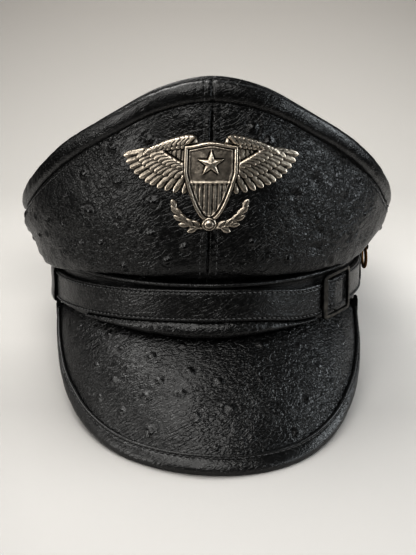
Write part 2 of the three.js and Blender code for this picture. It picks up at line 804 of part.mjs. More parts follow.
// The binding folded over the peak's edge. Its section is a narrow C round the last strip of the
// peak's wall. a runs inward from the edge along the peak, and h out from the nearer face of it.
function makeBinding() {
  const lastShares = peakShares.slice(-2);
  const half = peakWall / 2 + bindingGap + bindingWall;
  const outlines = [];
  const rings = peakStations.map((u) => {
    const { front, back } = wallSection(peakFace, u, lastShares, peakWall);
    const strip = front[0].distanceTo(front[1]);
    const upward = front[1].clone().sub(back[1]).normalize();
    const middle = front[1].clone().add(back[1]).multiplyScalar(0.5);
    const outward = front[1].clone().sub(front[0]).normalize();
    const above = (a, h) => front[1].clone().lerp(front[0], a / strip).addScaledVector(upward, h);
    const below = (a, h) => back[1].clone().lerp(back[0], a / strip).addScaledVector(upward, -h);
    const past = (a, h) => middle.clone().addScaledVector(outward, a).addScaledVector(upward, h);
    const lip = Math.min(bindingLip, strip * 0.9);
    const skinOut = bindingGap + bindingWall;
    const ring = [
      above(lip, skinOut),
      above(0, skinOut + bindingPlump),
      past(bindingNose * 0.7, half * 0.8),
      past(bindingNose, 0),
      past(bindingNose * 0.7, -half * 0.8),
      below(0, skinOut + bindingPlump),
      below(lip, skinOut),
      below(lip, bindingGap),
      below(-bindingGap, bindingGap),
      above(-bindingGap, bindingGap),
      above(lip, bindingGap),
    ];
    const fromMiddle = ring.map((p) => p.clone().sub(middle));
    outlines.push(fromMiddle.map((p) => new THREE.Vector2(p.dot(outward), p.dot(upward))));
    return ring;
  });
  return skin(rings, sectionCap(outlines[0]));
}

// Welt

function weltSection(angle) {
  const low = bandLow(angle) + fitGap;
  const strapLow = strapUp(angle) - strapWide / 2;
  const tall = Math.min(strapLow - fitGap - low, weltTall);
  return weltRows.map((row) => new THREE.Vector2(fitGap + weltThick * row.out, low + tall * row.up));
}

function makeWelt() {
  const angles = stepsFrom(-weltRightEnd, buckleFrom - weltBuckleGap, coarseStep);
  return sweepRound(angles, weltSection);
}

// Badge: a winged shield over two sprays of leaves, cast in one piece. Its solids are drawn on a
// flat sheet, with x to the wearer's left, y up and h out from the back, and bent to the crown.

// How far out the crown's face lies at a height on its side.
function crownOutAt(angle, up) {
  const profile = crownProfile(angle);
  let above = 0;
  let below = 0.5;
  for (let i = 0; i < 16; i += 1) {
    const middle = (above + below) / 2;
    if (profile.getPoint(middle).y > up) {
      above = middle;
    } else {
      below = middle;
    }
  }
  return profile.getPoint(above).x - dentAt(angle, up);
}

function placeOnBadge(x, y, h) {
  const up = crownFront - badgeBelowCrest + y;
  const angle = Math.asin(x / (bandHalfWidth + rimOut(0))) / DEGREE;
  return placeOnCrown(angle, crownOutAt(angle, up) + badgeGap + h, up);
}

// A feather or leaf along a curve. Its shape is read from rows of shares of its width and height.
function blade(curve, rows, wide, high, back, isMirrored = false) {
  const rings = rows.map((row) => {
    const middle = curve.getPoint(row.at);
    const along = curve.getTangent(row.at);
    const side = (across, h) => {
      const offset = across * wide * row.wide;
      return placeOnBadge(middle.x - along.y * offset, middle.y + along.x * offset, h);
    };
    const [left, right] = isMirrored ? [row.right, row.left] : [row.left, row.right];
    return [
      side(-0.5, back),
      side(-0.5, left * high + back),
      side(0, row.rib * high + back),
      side(0.5, right * high + back),
      side(0.5, back),
    ];
  });
  return toManifold(skin(rings, [[0, 1, 2], [0, 2, 3], [0, 3, 4]]));
}

function bend(rows, xSize, ySize) {
  const [from, over, to] = rows.map((row) => new THREE.Vector2(row.x * xSize, row.y * ySize));
  return new THREE.QuadraticBezierCurve(from, over, to);
}

function wingSolids(side) {
  const curves = {};
  for (const [name, rows] of Object.entries(wingRows)) {
    curves[name] = bend(rows, side * wingReach, wingTall);
  }
  const solids = [];
  for (let i = 0; i < quillCount; i += 1) {
    const t = i / (quillCount - 1);
    const root = curves.roots.getPoint(t);
    const tip = curves.tips.getPoint(t);
    const over = root.clone().lerp(tip, 0.5);
    over.y += quillArch;
    const layer = (1 + (i % 2)) * layerStep;
    const quill = new THREE.QuadraticBezierCurve(root, over, tip);
    solids.push(blade(quill, quillRows, quillWide, quillHigh, layer, side < 0));
  }
  solids.push(blade(curves.web, webRows, quillWide, webHigh, layerStep / 2));
  solids.push(blade(curves.shoulder, shoulderRows, quillWide, shoulderHigh, 3 * layerStep));
  return solids;
}

function spraySolids(side) {
  const stem = bend(stemRows, side * sprayReach, sprayDrop);
  const solids = [];
  for (let i = 0; i < leafCount; i += 1) {
    const at = (i + 1) / leafCount;
    const foot = stem.getPoint(at - 0.5 / leafCount);
    const turn = (i % 2 === 0 ? 1 : -1) * side * leafTurn * (1 - at);
    const along = stem.getTangent(at).rotateAround(new THREE.Vector2(), turn);
    const tip = foot.clone().addScaledVector(along, leafLong);
    const line = new THREE.LineCurve(foot, tip);
    solids.push(blade(line, leafRows, leafWide, leafHigh, (1 + (i % 2)) * layerStep));
  }
  solids.push(blade(stem, evenRows, stemWide, stemHigh, layerStep / 2));
  return solids;
}

// A shield whose outline shrinks by inset, from one height to another. Its foot rises to the sides.
function shieldSolid(inset, back, front) {
  const half = shieldWide / 2 - inset;
  const top = shieldTop - inset;
  const cornerShare = 0.62; // the side's lowest point, as a share of the height
  const footCurve = 2.2;
  const pointInset = 1.4; // the pointed foot shrinks by more than the inset
  const rings = stepsFrom(-1, 1, 1 / 3).map((t) => {
    const rise = (top + shieldDrop) * cornerShare * Math.abs(t) ** footCurve;
    const foot = rise - shieldDrop + inset * pointInset;
    const high = top + shieldPeak * Math.cos(t * Math.PI);
    const rows = stepsFrom(foot, high, (high - foot) / 2);
    const face = rows.map((y) => placeOnBadge(t * half, y, front));
    const rear = rows.map((y) => placeOnBadge(t * half, y, back));
    return [...face, ...rear.reverse()];
  });
  return toManifold(skin(rings, wallCap(rings[0].length)));
}

// A low faceted dome or, with a smaller inner radius, a star.
function starSolid(y, outer, inner, points, back, edge, apex) {
  const corners = Array.from({ length: points * 2 }, (_, i) => {
    const a = (i / points) * Math.PI;
    const r = i % 2 === 0 ? outer : inner;
    return [r * Math.sin(a), y + r * Math.cos(a)];
  });
  const ring = (share, h) =>
    corners.map(([cx, cy]) => placeOnBadge(cx * share, y + (cy - y) * share, h));
  const cap = corners.slice(2).map((_, i) => [0, i + 1, i + 2]);
  return toManifold(skin([ring(1, back), ring(1, edge), ring(0.02, apex)], cap));
}

function makeBadge() {
  const field = shieldHigh - shieldSink;
  const plate = shieldSolid(0, 0, shieldHigh);
  const sunk = shieldSolid(shieldRim, field, shieldHigh * 2);
  const starApex = shieldHigh + starHigh;
  const star = starSolid(shieldTop / 3, starOut, starIn, starPoints, field / 2, shieldHigh, starApex);
  const bossEdge = bossHigh * 0.72;
  const boss = starSolid(-shieldDrop, bossRadius, bossRadius, bossCorners, layerStep, bossEdge, bossHigh);
  let badge = plate.subtract(sunk).add(star).add(boss);
  for (const side of [1, -1]) {
    for (const solid of [...wingSolids(side), ...spraySolids(side)]) {
      badge = badge.add(solid);
    }
  }
  return fromManifold(badge);
}

// Floor: the cap leans back on the band's lower edge behind and on the peak's binding in front.

function restTilt(binding) {
  const heel = place(180, 0, bandSole);
  const position = binding.getAttribute("position");
  let tilt = 0;
  for (let i = 0; i < position.count; i += 1) {
    const toe = new THREE.Vector3().fromBufferAttribute(position, i);
    tilt = Math.max(tilt, Math.atan2(heel.z - toe.z, heel.y - toe.y));
  }
  return tilt;
}

function flattenOnFloor(geometry, tilt) {
  const heel = place(180, 0, bandSole);
  const size = 600;
  const floor = new THREE.BoxGeometry(size, size, size / 10).translate(0, 0, -size / 20 + restPress);
  floor.rotateX(tilt).translate(0, heel.y, heel.z);
  return fromManifold(toManifold(geometry).subtract(toManifold(floor)));
}

// Materials

function leather(color, roughness) {
  return new THREE.MeshStandardMaterial({ color, roughness, metalness: 0 });
}

const ostrichLeather = leather(0x1b1b1c, 0.5);
const smoothLeather = leather(0x161616, 0.42);
const plainLeather = leather(0x202021, 0.6);
const blackMetal = new THREE.MeshStandardMaterial({ color: 0x121212, roughness: 0.3, metalness: 0.8 });
const oldBrass = new THREE.MeshStandardMaterial({ color: 0x9a6f38, roughness: 0.35, metalness: 1 });
const agedPewter = new THREE.MeshStandardMaterial({ color: 0x8d8271, roughness: 0.38, metalness: 1 });

function piece(name, geometry, material) {
  const mesh = new THREE.Mesh(geometry, material);
  mesh.name = name;
  return mesh;
}

// Assembly

const bindingWhole = makeBinding();
const tilt = restTilt(bindingWhole);

const cap = new THREE.Group();
cap.add(piece("crown_panel_left", makeCrownPanel(1), ostrichLeather));
cap.add(piece("crown_panel_right", makeCrownPanel(-1), ostrichLeather));
cap.add(piece("crown_roll", makeRoll(), smoothLeather));
cap.add(piece("crown_top", makeTop(), ostrichLeather));
cap.add(piece("head_band", flattenOnFloor(makeBand(), tilt), plainLeather));
cap.add(piece("band_welt", makeWelt(), smoothLeather));
cap.add(piece("peak", makePeak(), ostrichLeather));
cap.add(piece("peak_binding", flattenOnFloor(bindingWhole, tilt), smoothLeather));
cap.add(piece("strap", makeStrap(), smoothLeather));
cap.add(piece("strap_loop_left", makeLoop(leftLoopAngle), smoothLeather));
cap.add(piece("strap_loop_right", makeLoop(rightLoopAngle), smoothLeather));
cap.add(piece("buckle", makeBuckle(), blackMetal));
cap.add(piece("badge", makeBadge(), agedPewter));
cap.add(piece("side_ring", makeRing(), oldBrass));
cap.add(piece("ring_tab", makeTab(), smoothLeather));

// Tip the cap on to the floor and centre its footprint
cap.rotation.x = -tilt;
const standing = new THREE.Group();
standing.add(cap);
standing.updateMatrixWorld(true);
const footprint = new THREE.Box3().setFromObject(standing, true);
cap.position.set(
  -(footprint.min.x + footprint.max.x) / 2,
  -(footprint.min.y + footprint.max.y) / 2,
  -footprint.min.z
);
standing.updateMatrixWorld(true);

export default standing;
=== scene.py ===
"""The looks of the captain cap: leather, seams, stitches, metal and cast badge, on a pale floor.

Shapes are worked out in millimetres as worn, with the head band level: an angle round the head (0
in front, 90 at the wearer's left), a distance out from the band's outer face and a height up. They
are then tipped back on to the floor, as the solids are, and turned into metres.
"""
import functools
import math

import bpy
import numpy as np
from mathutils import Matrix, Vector
from mathutils.geometry import tessellate_polygon


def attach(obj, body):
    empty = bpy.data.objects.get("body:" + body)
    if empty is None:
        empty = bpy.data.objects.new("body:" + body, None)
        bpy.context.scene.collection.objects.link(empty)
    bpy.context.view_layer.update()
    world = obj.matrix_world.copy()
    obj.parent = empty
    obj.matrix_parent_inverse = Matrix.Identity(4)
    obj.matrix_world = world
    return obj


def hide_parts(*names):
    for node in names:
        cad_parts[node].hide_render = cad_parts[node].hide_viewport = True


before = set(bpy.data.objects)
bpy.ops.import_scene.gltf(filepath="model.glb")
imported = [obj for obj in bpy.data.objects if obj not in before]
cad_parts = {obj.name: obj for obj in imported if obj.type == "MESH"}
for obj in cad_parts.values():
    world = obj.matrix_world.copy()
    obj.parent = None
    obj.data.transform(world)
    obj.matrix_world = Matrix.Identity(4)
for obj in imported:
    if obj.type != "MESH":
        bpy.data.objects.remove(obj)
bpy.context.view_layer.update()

MM = 0.001
DEG = math.pi / 180


def table(columns, *rows):
    return [dict(zip(columns.split(), row)) for row in rows]


# How the cap stands: tipped back by this angle, then moved by this much and kept off the floor
TILT_DEG, STAND_BACK, STAND_UP, FLOOR_CLEAR = 14.6298, 17.618, 21.12, 0.02

# Sizes, the same as the solids'
FIT_GAP, SEAM_GAP = 0.3, 0.4
BAND_HALF_WIDTH, BAND_HALF_LENGTH, BAND_HEIGHT = 84.0, 101.0, 29.0
BAND_WALL, BAND_SOLE, DIP_ANGLE, BAND_BEAD, BAND_BEAD_TALL = 2.6, 3.4, 46.0, 0.9, 2.2
CROWN_FRONT, CROWN_FLARE, CROWN_TWIST, CROWN_WALL = 134.0, 19.5, 1.8, 2.0
CROWN_TUCK, CROWN_LIFT, SIDE_SLUMP, SLUMP_ANGLE, SLUMP_SWELL = 9.0, 3.4, 9.8, 62.0, 0.25
CROWN_FULL, DENT_FADE, ROLL_TALL, ROLL_THICK = 1.1, 4.0, 11.0, 6.4
TOP_WALL, TOP_BEAD, TOP_BEAD_WIDE, TOP_SAG = 2.0, 1.5, 3.0, 5.0
STRAP_WIDE, STRAP_THICK, STRAP_ROUND, STRAP_BELOW_BEAD = 17.0, 2.0, 0.7, 0.7
STRAP_DROOP_RIGHT, STRAP_DROOP_LEFT, STRAP_SAG = 6.0, 1.8, 3.0
STRAP_SAG_ANGLE, STRAP_SAG_WIDE, STRAP_LAP_ANGLE, STRAP_RISE_ANGLE = 37.0, 14.0, 12.0, 12.0
BAR_HOLD_ANGLE, BAR_CLIMB_ANGLE = 1.9, 3.2
LOOP_WIDE, LOOP_THICK, LOOP_SOLE_SHARE, RIGHT_LOOP_GAP, LEFT_LOOP_GAP = 12.0, 1.6, 0.7, 2.0, 20.0
LOOP_FOOT, LOOP_LEG, LOOP_BEND, LOOP_TURN = 4.2, 6.0, 1.3, 1.4
BUCKLE_MIDDLE, BUCKLE_SPAN, BUCKLE_SLACK, BUCKLE_RAIL = 53.0, 17.0, 1.5, 2.0
BUCKLE_BAR, BUCKLE_REAR_BAR, BUCKLE_MID_BAR, BUCKLE_THICK, MID_BAR_THICK = 2.4, 1.5, 1.8, 1.6, 1.5
RING_RADIUS, RING_WIRE, RING_CLEAR = 6.0, 0.9, 1.7
TAB_WIDE, TAB_HOLE_CLEAR, TAB_RIM, TAB_ARM, TAB_DROP, TAB_INSET = 3.2, 0.55, 0.95, 1.8, 3.9, 0.2
PEAK_ANGLE, PEAK_HALF_WIDTH, PEAK_START, PEAK_REACH, PEAK_DROP = 72.0, 81.4, 28.0, 117.0, 56.2
PEAK_SHIFT, PEAK_SKEW, SKEW_DROP, PEAK_WALL, PEAK_FLANGE, PEAK_BOW = 2.0, 3.0, 0.27, 2.4, 8.0, 9.0
FLANGE_SHARE = 0.12
BINDING_LIP, BINDING_WALL, BINDING_NOSE, BINDING_PLUMP, BINDING_GAP = 7.5, 1.2, 2.6, 0.4, 0.45
WELT_THICK, WELT_TALL, WELT_RIGHT_END, WELT_BUCKLE_GAP = 3.0, 8.0, 48.0, 2.5
BADGE_BELOW_CREST, BADGE_GAP = 51.0, 0.6

CROWN_ROWS = table(
    "angle crest flare lip_out lip_up belly_out belly_up",
    (0, 1.0, 0.39, 0.23, 0.278, 0.37, 0.4),
    (17, 0.96, 0.46, 0.27, 0.25, 0.44, 0.385),
    (34, 0.857, 0.58, 0.31, 0.24, 0.54, 0.36),
    (51, 0.738, 0.75, 0.34, 0.236, 0.63, 0.34),
    (64, 0.627, 0.87, 0.36, 0.243, 0.67, 0.325),
    (76, 0.53, 0.95, 0.345, 0.259, 0.7, 0.315),
    (90, 0.448, 1.0, 0.33, 0.264, 0.74, 0.305),
    (125, 0.42, 0.85, 0.345, 0.256, 0.68, 0.3),
    (180, 0.435, 0.52, 0.28, 0.252, 0.44, 0.3),
)
CROWN_DENTS = table(
    "angle up deep wide tall",
    (46, 0.66, 0.09, 13, 0.6), (60, 0.5, -0.06, 10, 0.5), (62, 0.34, 0.08, 9, 0.35),
    (-58, 0.5, -0.05, 14, 0.7), (-40, 0.36, 0.05, 12, 0.4), (150, 0.36, 0.07, 14, 0.4),
    (-146, 0.37, 0.07, 14, 0.4),
)
PEAK_ROWS = table(
    "side forward down",
    (0, 1, 1), (0.3, 0.962, 0.991), (0.57, 0.855, 0.943), (0.775, 0.69, 0.825),
    (0.915, 0.475, 0.637), (0.985, 0.24, 0.38), (1.0, 0.03, 0.09),
)
WELT_ROWS = table(
    "out up", (0, 0.12), (0.45, 0), (0.9, 0.2), (1, 0.5), (0.8, 0.82), (0.4, 1), (0, 1)
)

# Sizes that only the looks have
STITCHES = {  # pitch, length and radius of the threads
    "seam": (3.1, 2.2, 0.3), "rim": (3.4, 2.4, 0.32), "roll": (2.8, 2.1, 0.34),
    "top": (3.4, 2.4, 0.32), "strap": (2.8, 2.1, 0.48), "binding": (3.3, 2.4, 0.3),
}
SEAM_STITCH = {"left": 5.6, "right": 4.6}  # from the centre seam's middle to the stitches
SEAM_PULL, SEAM_PULL_WIDE = 0.3, 0.6  # how deep and wide a stitched furrow is
RIM_STITCH = 2.6  # how far below the roll its stitches lie
# Furrows and ridges beside a line: height, distance from it and width
SEAM_FURROWS = ((-1.2, 0, 0.75), (0.22, 2.2, 1.3))
RIM_FURROWS = ((-0.28, RIM_STITCH, 0.6), (0.2, 0, 1.4))
QUILL_FURROWS = ((-0.14, 1.6, 0.4), (0.1, 2.6, 0.5))
PIT_FURROWS = ((-0.85, 0, 1), (0.2, 1.6, 0.15**0.5))
EAR_SWELL, EAR_SWELL_DOWN, EAR_SWELL_ANGLE = 1.5, 3.0, 26.0
STRAP_STITCH_IN, STRAP_GROOVE = 1.7, 0.36
THREAD_LEAN, THREAD_PROUD = 0.2, -0.2  # the strap's slanting stitches, which stand up
ROLL_SQUARED, ROD_SQUARED = 0.86, 0.36  # powers that square off a round section
ROLL_JOINTS = ((0, 0.7), (180, 0.7), (-86, 0.8), (87, 0.8))  # angle, and how wide the pinch is
BINDING_BEAD, BINDING_STITCH_IN = 0.35, 1.7
# How far the binding's ends reach up to the band, at the wearer's right and left, in steps
BINDING_RIGHT_RISE, BINDING_LEFT_RISE, BINDING_END_RINGS = 4.6, 7.0, 5
QUILL_WIDE, QUILL_SHARP, PIT_WIDE = 1.8, 2.6, 2.3
QUILL_HIGH = {"front": 1.1, "hidden": 1.0, "peak": 0.7, "top": 0.7}
QUILL_TRIES, QUILL_SIZES = 6000, (0.6, 1.15)  # for those that are scattered
# The wrinkled stretches: their middle and half width round the head, and where they fade in
WILD_ANGLE, WILD_WIDE, WILD_UP, WILD_FADE = 48, 34, 36, 12
PEAK_WILD_ANGLE, PEAK_WILD_WIDE, PEAK_LOOSE = 36, 22, 0.6
# The gathered folds: below which height, and from which angle on
GATHER_UP, GATHER_FADE, GATHER_ANGLE, GATHER_IN = 26, 16, 20, 25
# Where the scattered quills start: angle, out, up and from the seam, and how far apart they are
HIDDEN_ANGLE, HIDDEN_OUT, HIDDEN_UP, HIDDEN_SEAM, HIDDEN_APART = 80, 3, 33, 8, 11.0
HIDDEN_SEED = {"left": 3, "right": 4}
TOP_QUILLS_FROM, TOP_QUILLS_TO, TOP_APART, TOP_SEED = 0.12, 0.9, 12.0, 11
SEAM_STITCHED = 0.62  # share of the crown's profile that shows its seam's stitches
# The pinch at a joint of the roll and the ridges beside it
JOINT_DEEP, JOINT_RIDGE, JOINT_RIDGE_AT, JOINT_RIDGE_WIDE = 1.1, 0.12, 2.2, 1.2
PEAK_STEPS, PEAK_RINGS, PEAK_QUILLS_FROM = 420, 176, 8
INNER_STEP = 4  # the inner faces of the walls have one point for this many outer ones

# Unevenness: height, size of the lumps, seed, and how sharp the creases are (0 for soft lumps)
ROUGH = {
    "band": ((0.12, 9.0, 3, 0), (0.05, 2.5, 4, 0)),
    "crown": (
        (0.4, (16, 16, 11), 5, 0), (0.16, 6.0, 6, 0), (-0.16, (7, 7, 4.5), 7, 7),
        (-0.06, 3.2, 8, 4),
    ),
    # the much more wrinkled stretch at the wearer's left
    "crown_wild": (
        (-0.45, (6, 7, 4), 9, 5), (-0.3, 2.3, 12, 3), (0.35, 6.0, 15, 0), (0.08, 1.7, 16, 0),
    ),
    # gathered folds low at the sides, where the soft leather hangs over the band
    "crown_low": ((0.5, (5, 5, 16), 21, 0),),
    "roll": ((0.22, (13, 13, 9), 31, 0), (0.1, 4.5, 32, 0), (-0.2, (4, 4, 8), 33, 5)),
    "top": ((0.5, 22.0, 41, 0), (0.2, 7.0, 42, 0), (-0.3, 11.0, 43, 7)),
    "strap": ((0.1, (7, 7, 5), 51, 0), (0.05, 2.2, 52, 0)),
    "loop": ((0.06, 3.0, 61, 0),),
    "peak": (
        (0.22, 15.0, 71, 0), (0.1, 5.0, 72, 0), (-0.07, (6, 7, 6), 73, 6), (-0.04, 2.6, 74, 3),
    ),
    "peak_wild": ((-0.22, (6, 7, 6), 73, 6), (-0.2, 2.6, 74, 3)),
    "binding": ((0.12, 8.0, 81, 0), (0.06, 3.0, 82, 0), (-0.08, 4.5, 83, 6)),
    "welt": ((0.2, 6.0, 91, 0), (-0.3, (3, 3, 6), 92, 4)),
    "badge": ((0.05, 0.9, 95, 0),),
}

# The camera that fits the photograph: it looks at a point above the band from this far away
CAMERA_FAR, CAMERA_UP_DEG, CAMERA_AIM_UP, SENSOR_WIDE = 1000.0, 10.0, 60.0, 36
PHOTO_WIDE, PHOTO_TALL, PHOTO_FOCAL = 416, 555, 1770.0  # in the photograph's pixels
AIM_PX, AIM_PY = 207.0, 189.8  # where that point lies in the photograph

# Quill bumps and pits that the photograph shows: where, and how big beside the usual one
CROWN_QUILLS = table(
    "px py size",
    (148, 140, 1.1), (112, 148, 1.1), (84, 174, 1.2), (117, 182, 1.1), (64, 196, 0.8),
    (89, 211, 1.1), (118, 217, 1.1), (153, 202, 1.2), (62, 225, 0.9), (150, 234, 1.2),
    (80, 243, 1.1), (100, 244, 1.1), (185, 248, 1.1), (167, 261, 1), (123, 267, 1.1),
    (65, 253, 0.9), (175, 115, 0.7), (253, 127, 1.2), (270, 142, 1.3), (252, 243, 1), (289, 259, 1),
    (228, 113, 0.6), (135, 117, 0.6), (50, 222, 0.8), (40, 236, 0.8), (319, 218, 1),
    (348, 236, 0.9), (300, 213, 0.8), (336, 170, 0.9), (365, 215, 0.8),
)
CROWN_PITS = table(
    "px py size",
    (317, 180, 1.3), (359, 184, 1.5), (320, 232, 1), (315, 249, 1.2), (329, 261, 1),
    (349, 237, 1.1), (345, 163, 1.2), (371, 207, 0.9), (296, 195, 1), (340, 205, 0.8),
    (36, 215, 0.8), (47, 232, 0.9), (372, 170, 0.7), (309, 150, 0.7),
)
PEAK_QUILLS = table(
    "px py size",
    (79, 327, 0.9), (109, 334, 1), (121, 349, 1), (151, 357, 1.1), (86, 347, 0.9), (95, 367, 1),
    (128, 369, 1.1), (113, 382, 1.1), (159, 381, 1.1), (190, 372, 1.2), (182, 345, 0.9),
    (220, 382, 1.1), (147, 397, 1.3), (182, 394, 1.1), (99, 399, 1.1), (122, 413, 1.1),
    (196, 418, 1.2), (149, 432, 1.3), (215, 449, 1), (262, 345, 1.2), (262, 380, 1), (319, 366, 1),
    (334, 383, 0.9), (308, 400, 1.1), (324, 411, 0.9), (298, 434, 1.2), (232, 409, 1),
    (253, 439, 0.9), (338, 324, 0.8), (288, 362, 0.7), (300, 345, 0.7), (281, 415, 0.7),
    (237, 356, 0.7),
)

# Numbers


def smooth_step(value):
    t = np.clip(value, 0, 1)
    return t * t * (3 - 2 * t)


def hill(value, middle=0.0, wide=1.0):
    return np.exp(-(((value - middle) / wide) ** 2))


def furrows(distance, rows):
    return sum(high * hill(distance, middle, wide) for high, middle, wide in rows)


def unit(vectors):
    return vectors / np.maximum(np.linalg.norm(vectors, axis=-1, keepdims=True), 1e-12)


def facing_up(vectors):
    return vectors * np.where(vectors[..., 2:] < 0, -1, 1)


def bezier(start, control, end, t):
    return start * (1 - t) ** 2 + 2 * control * t * (1 - t) + end * t**2


def read_rows(rows, key, column, at):
    """A smooth curve through one column of a table, level at both ends."""
    at = np.asarray(at, float)
    keys = np.array([row[key] for row in rows], float)
    values = np.array([row[column] for row in rows], float)
    i = np.clip(np.searchsorted(keys, at, side="left") - 1, 0, len(rows) - 2)
    span = keys[i + 1] - keys[i]
    t = np.clip((at - keys[i]) / span, 0, 1)
    slopes = np.zeros(len(rows))
    slopes[1:-1] = (values[2:] - values[:-2]) / (keys[2:] - keys[:-2])
    t2, t3 = t * t, t * t * t
    return (
        (2 * t3 - 3 * t2 + 1) * values[i] + (t3 - 2 * t2 + t) * span * slopes[i]
        + (3 * t2 - 2 * t3) * values[i + 1] + (t3 - t2) * span * slopes[i + 1]
    )


def through_points(points, shares):
    """A curve through points (..., k, d) at shares of its stretch, with even bends."""
    count = points.shape[-2]
    before = 2 * points[..., :1, :] - points[..., 1:2, :]
    after = 2 * points[..., -1:, :] - points[..., -2:-1, :]
    padded = np.concatenate([before, points, after], axis=-2)
    place = np.clip(shares, 0, 1) * (count - 1)
    i = np.minimum(place.astype(int), count - 2)
    w = (place - i)[:, None]
    p0, p1, p2, p3 = (padded[..., i + k, :] for k in range(4))

    def step(a, b):
        return np.maximum(((a - b) ** 2).sum(-1, keepdims=True) ** 0.25, 1e-4)

    d0, d1, d2 = step(p0, p1), step(p1, p2), step(p2, p3)
    t1 = ((p1 - p0) / d0 - (p2 - p0) / (d0 + d1) + (p2 - p1) / d1) * d1
    t2 = ((p2 - p1) / d1 - (p3 - p1) / (d1 + d2) + (p3 - p2) / d2) * d1
    bent = (-3 * p1 + 3 * p2 - 2 * t1 - t2) * w**2 + (2 * p1 - 2 * p2 + t1 + t2) * w**3
    return p1 + t1 * w + bent


def round_outline(corners, count):
    """A smooth closed outline (..., count, 2) through corner points (..., k, 2), even in steps."""
    ring = np.concatenate([corners[..., -2:, :], corners, corners[..., :3, :]], axis=-2)
    shares = (np.arange(count) / count * corners.shape[-2] + 2) / (ring.shape[-2] - 1)
    return through_points(ring, shares)


def squared_turn(count, power):
    """Across and along a circle that a power under 1 squares off."""
    turn = np.arange(count) / count * 2 * math.pi
    across, along = np.cos(turn), np.sin(turn)
    return np.sign(across) * np.abs(across) ** power, np.sign(along) * np.abs(along) ** power


NOISE_PRIMES, NOISE_MIX, NOISE_BITS = (73856093, 19349663, 83492791), 1274126177, 0xFFFF
SEED_SHIFT = 17.31  # how far apart in space two seeds lie, in lumps
CREASE_BEND, CREASE_BEND_SIZE = 0.35, 0.8  # how far creases wander, and how soon


def noise(points, size, seed=0):
    """Smooth noise from -1 to 1 in space, with lumps of the given size, one or three numbers."""
    q = points / np.asarray(size, float) + seed * SEED_SHIFT
    cell = np.floor(q).astype(np.int64)
    f = q - cell
    w = f * f * f * (f * (f * 6 - 15) + 10)
    total = np.zeros(points.shape[:-1])
    for corner in np.ndindex(2, 2, 2):
        x, y, z = ((cell[..., k] + corner[k]) * NOISE_PRIMES[k] for k in range(3))
        n = x ^ y ^ z
        n = (n ^ (n >> 13)) * NOISE_MIX
        value = ((n >> 8) & NOISE_BITS) / (NOISE_BITS / 2) - 1
        for k in range(3):
            value = value * (w[..., k] if corner[k] else 1 - w[..., k])
        total += value
    return total


def creases(points, size, seed=0, sharp=5):
    """Thin folds: 1 along their bottoms and near 0 between them."""
    usual = np.mean(size)
    bend = [noise(points, usual * CREASE_BEND_SIZE, seed + k) for k in (1, 2, 3)]
    bent = points + CREASE_BEND * usual * np.stack(bend, axis=-1)
    return (1 - np.abs(noise(bent, size, seed))) ** sharp


def rough(points, name):
    total = 0
    for high, size, seed, sharp in ROUGH[name]:
        lumps = creases(points, size, seed, sharp) if sharp else noise(points, size, seed)
        total = total + high * lumps
    return total


def to_rest(points, lowest=FLOOR_CLEAR):
    """From millimetres as worn to metres as the cap stands. What meets the floor is flattened."""
    tilt = TILT_DEG * DEG
    y = points[..., 1] * math.cos(tilt) + points[..., 2] * math.sin(tilt) + STAND_BACK
    z = -points[..., 1] * math.sin(tilt) + points[..., 2] * math.cos(tilt) + STAND_UP
    return np.stack([points[..., 0], y, np.maximum(z, lowest)], axis=-1) * MM


def outward_at(angle):
    a = np.asarray(angle) * DEG
    return np.stack([np.sin(a), -np.cos(a), 0 * a], axis=-1)


def place(angle, out, up):
    a = np.asarray(angle) * DEG
    x = (BAND_HALF_WIDTH + out) * np.sin(a)
    y = -(BAND_HALF_LENGTH + out) * np.cos(a)
    return np.stack(np.broadcast_arrays(x, y, up), axis=-1).astype(float)


def grid_normals(points, loop_u=False):
    """Normals of a grid of points (n, m, 3)."""
    if loop_u:
        along_u = np.roll(points, -1, 0) - np.roll(points, 1, 0)
    else:
        along_u = np.gradient(points, axis=0)
    return unit(np.cross(along_u, np.gradient(points, axis=1)))


def section_corners(columns, n):
    """Stacks a list of (out, up) columns, each a number or n numbers, to (n, k, 2)."""
    parts = [np.stack([np.broadcast_to(c, (n,)) for c in column], axis=-1) for column in columns]
    return np.stack(parts, axis=1).astype(float)


def sweep(angle, columns, count):
    """Rings of count points along angles from a rounded outline, and how far out they lie."""
    section = round_outline(section_corners(columns, len(angle)), count)
    return place(angle[:, None], section[..., 0], section[..., 1]), section[..., 0]


def from_middles(rings):
    """The way from each ring's middle to its points."""
    return unit(rings - rings.mean(1, keepdims=True))


# Photograph frame


def camera_axes():
    e = CAMERA_UP_DEG * DEG
    forward = np.array([0, math.cos(e), -math.sin(e)])
    upward = np.array([0, math.sin(e), math.cos(e)])
    return np.array([0, 0, CAMERA_AIM_UP]) - CAMERA_FAR * forward, forward, upward


def spots_on(points, normals, spots):
    """The surface point under each named spot of the photograph, on the side that faces it."""
    eye, forward, upward = camera_axes()
    d = points - eye
    depth = d @ forward
    px = AIM_PX + PHOTO_FOCAL * d[..., 0] / depth
    py = AIM_PY - PHOTO_FOCAL * (d @ upward) / depth
    away = (d * normals).sum(-1) >= 0
    found = []
    for spot in spots:
        miss = (px - spot["px"]) ** 2 + (py - spot["py"]) ** 2 + away * 1e6
        found.append(points.reshape(-1, 3)[int(np.argmin(miss))])
    return np.array(found), np.array([spot["size"] for spot in spots])


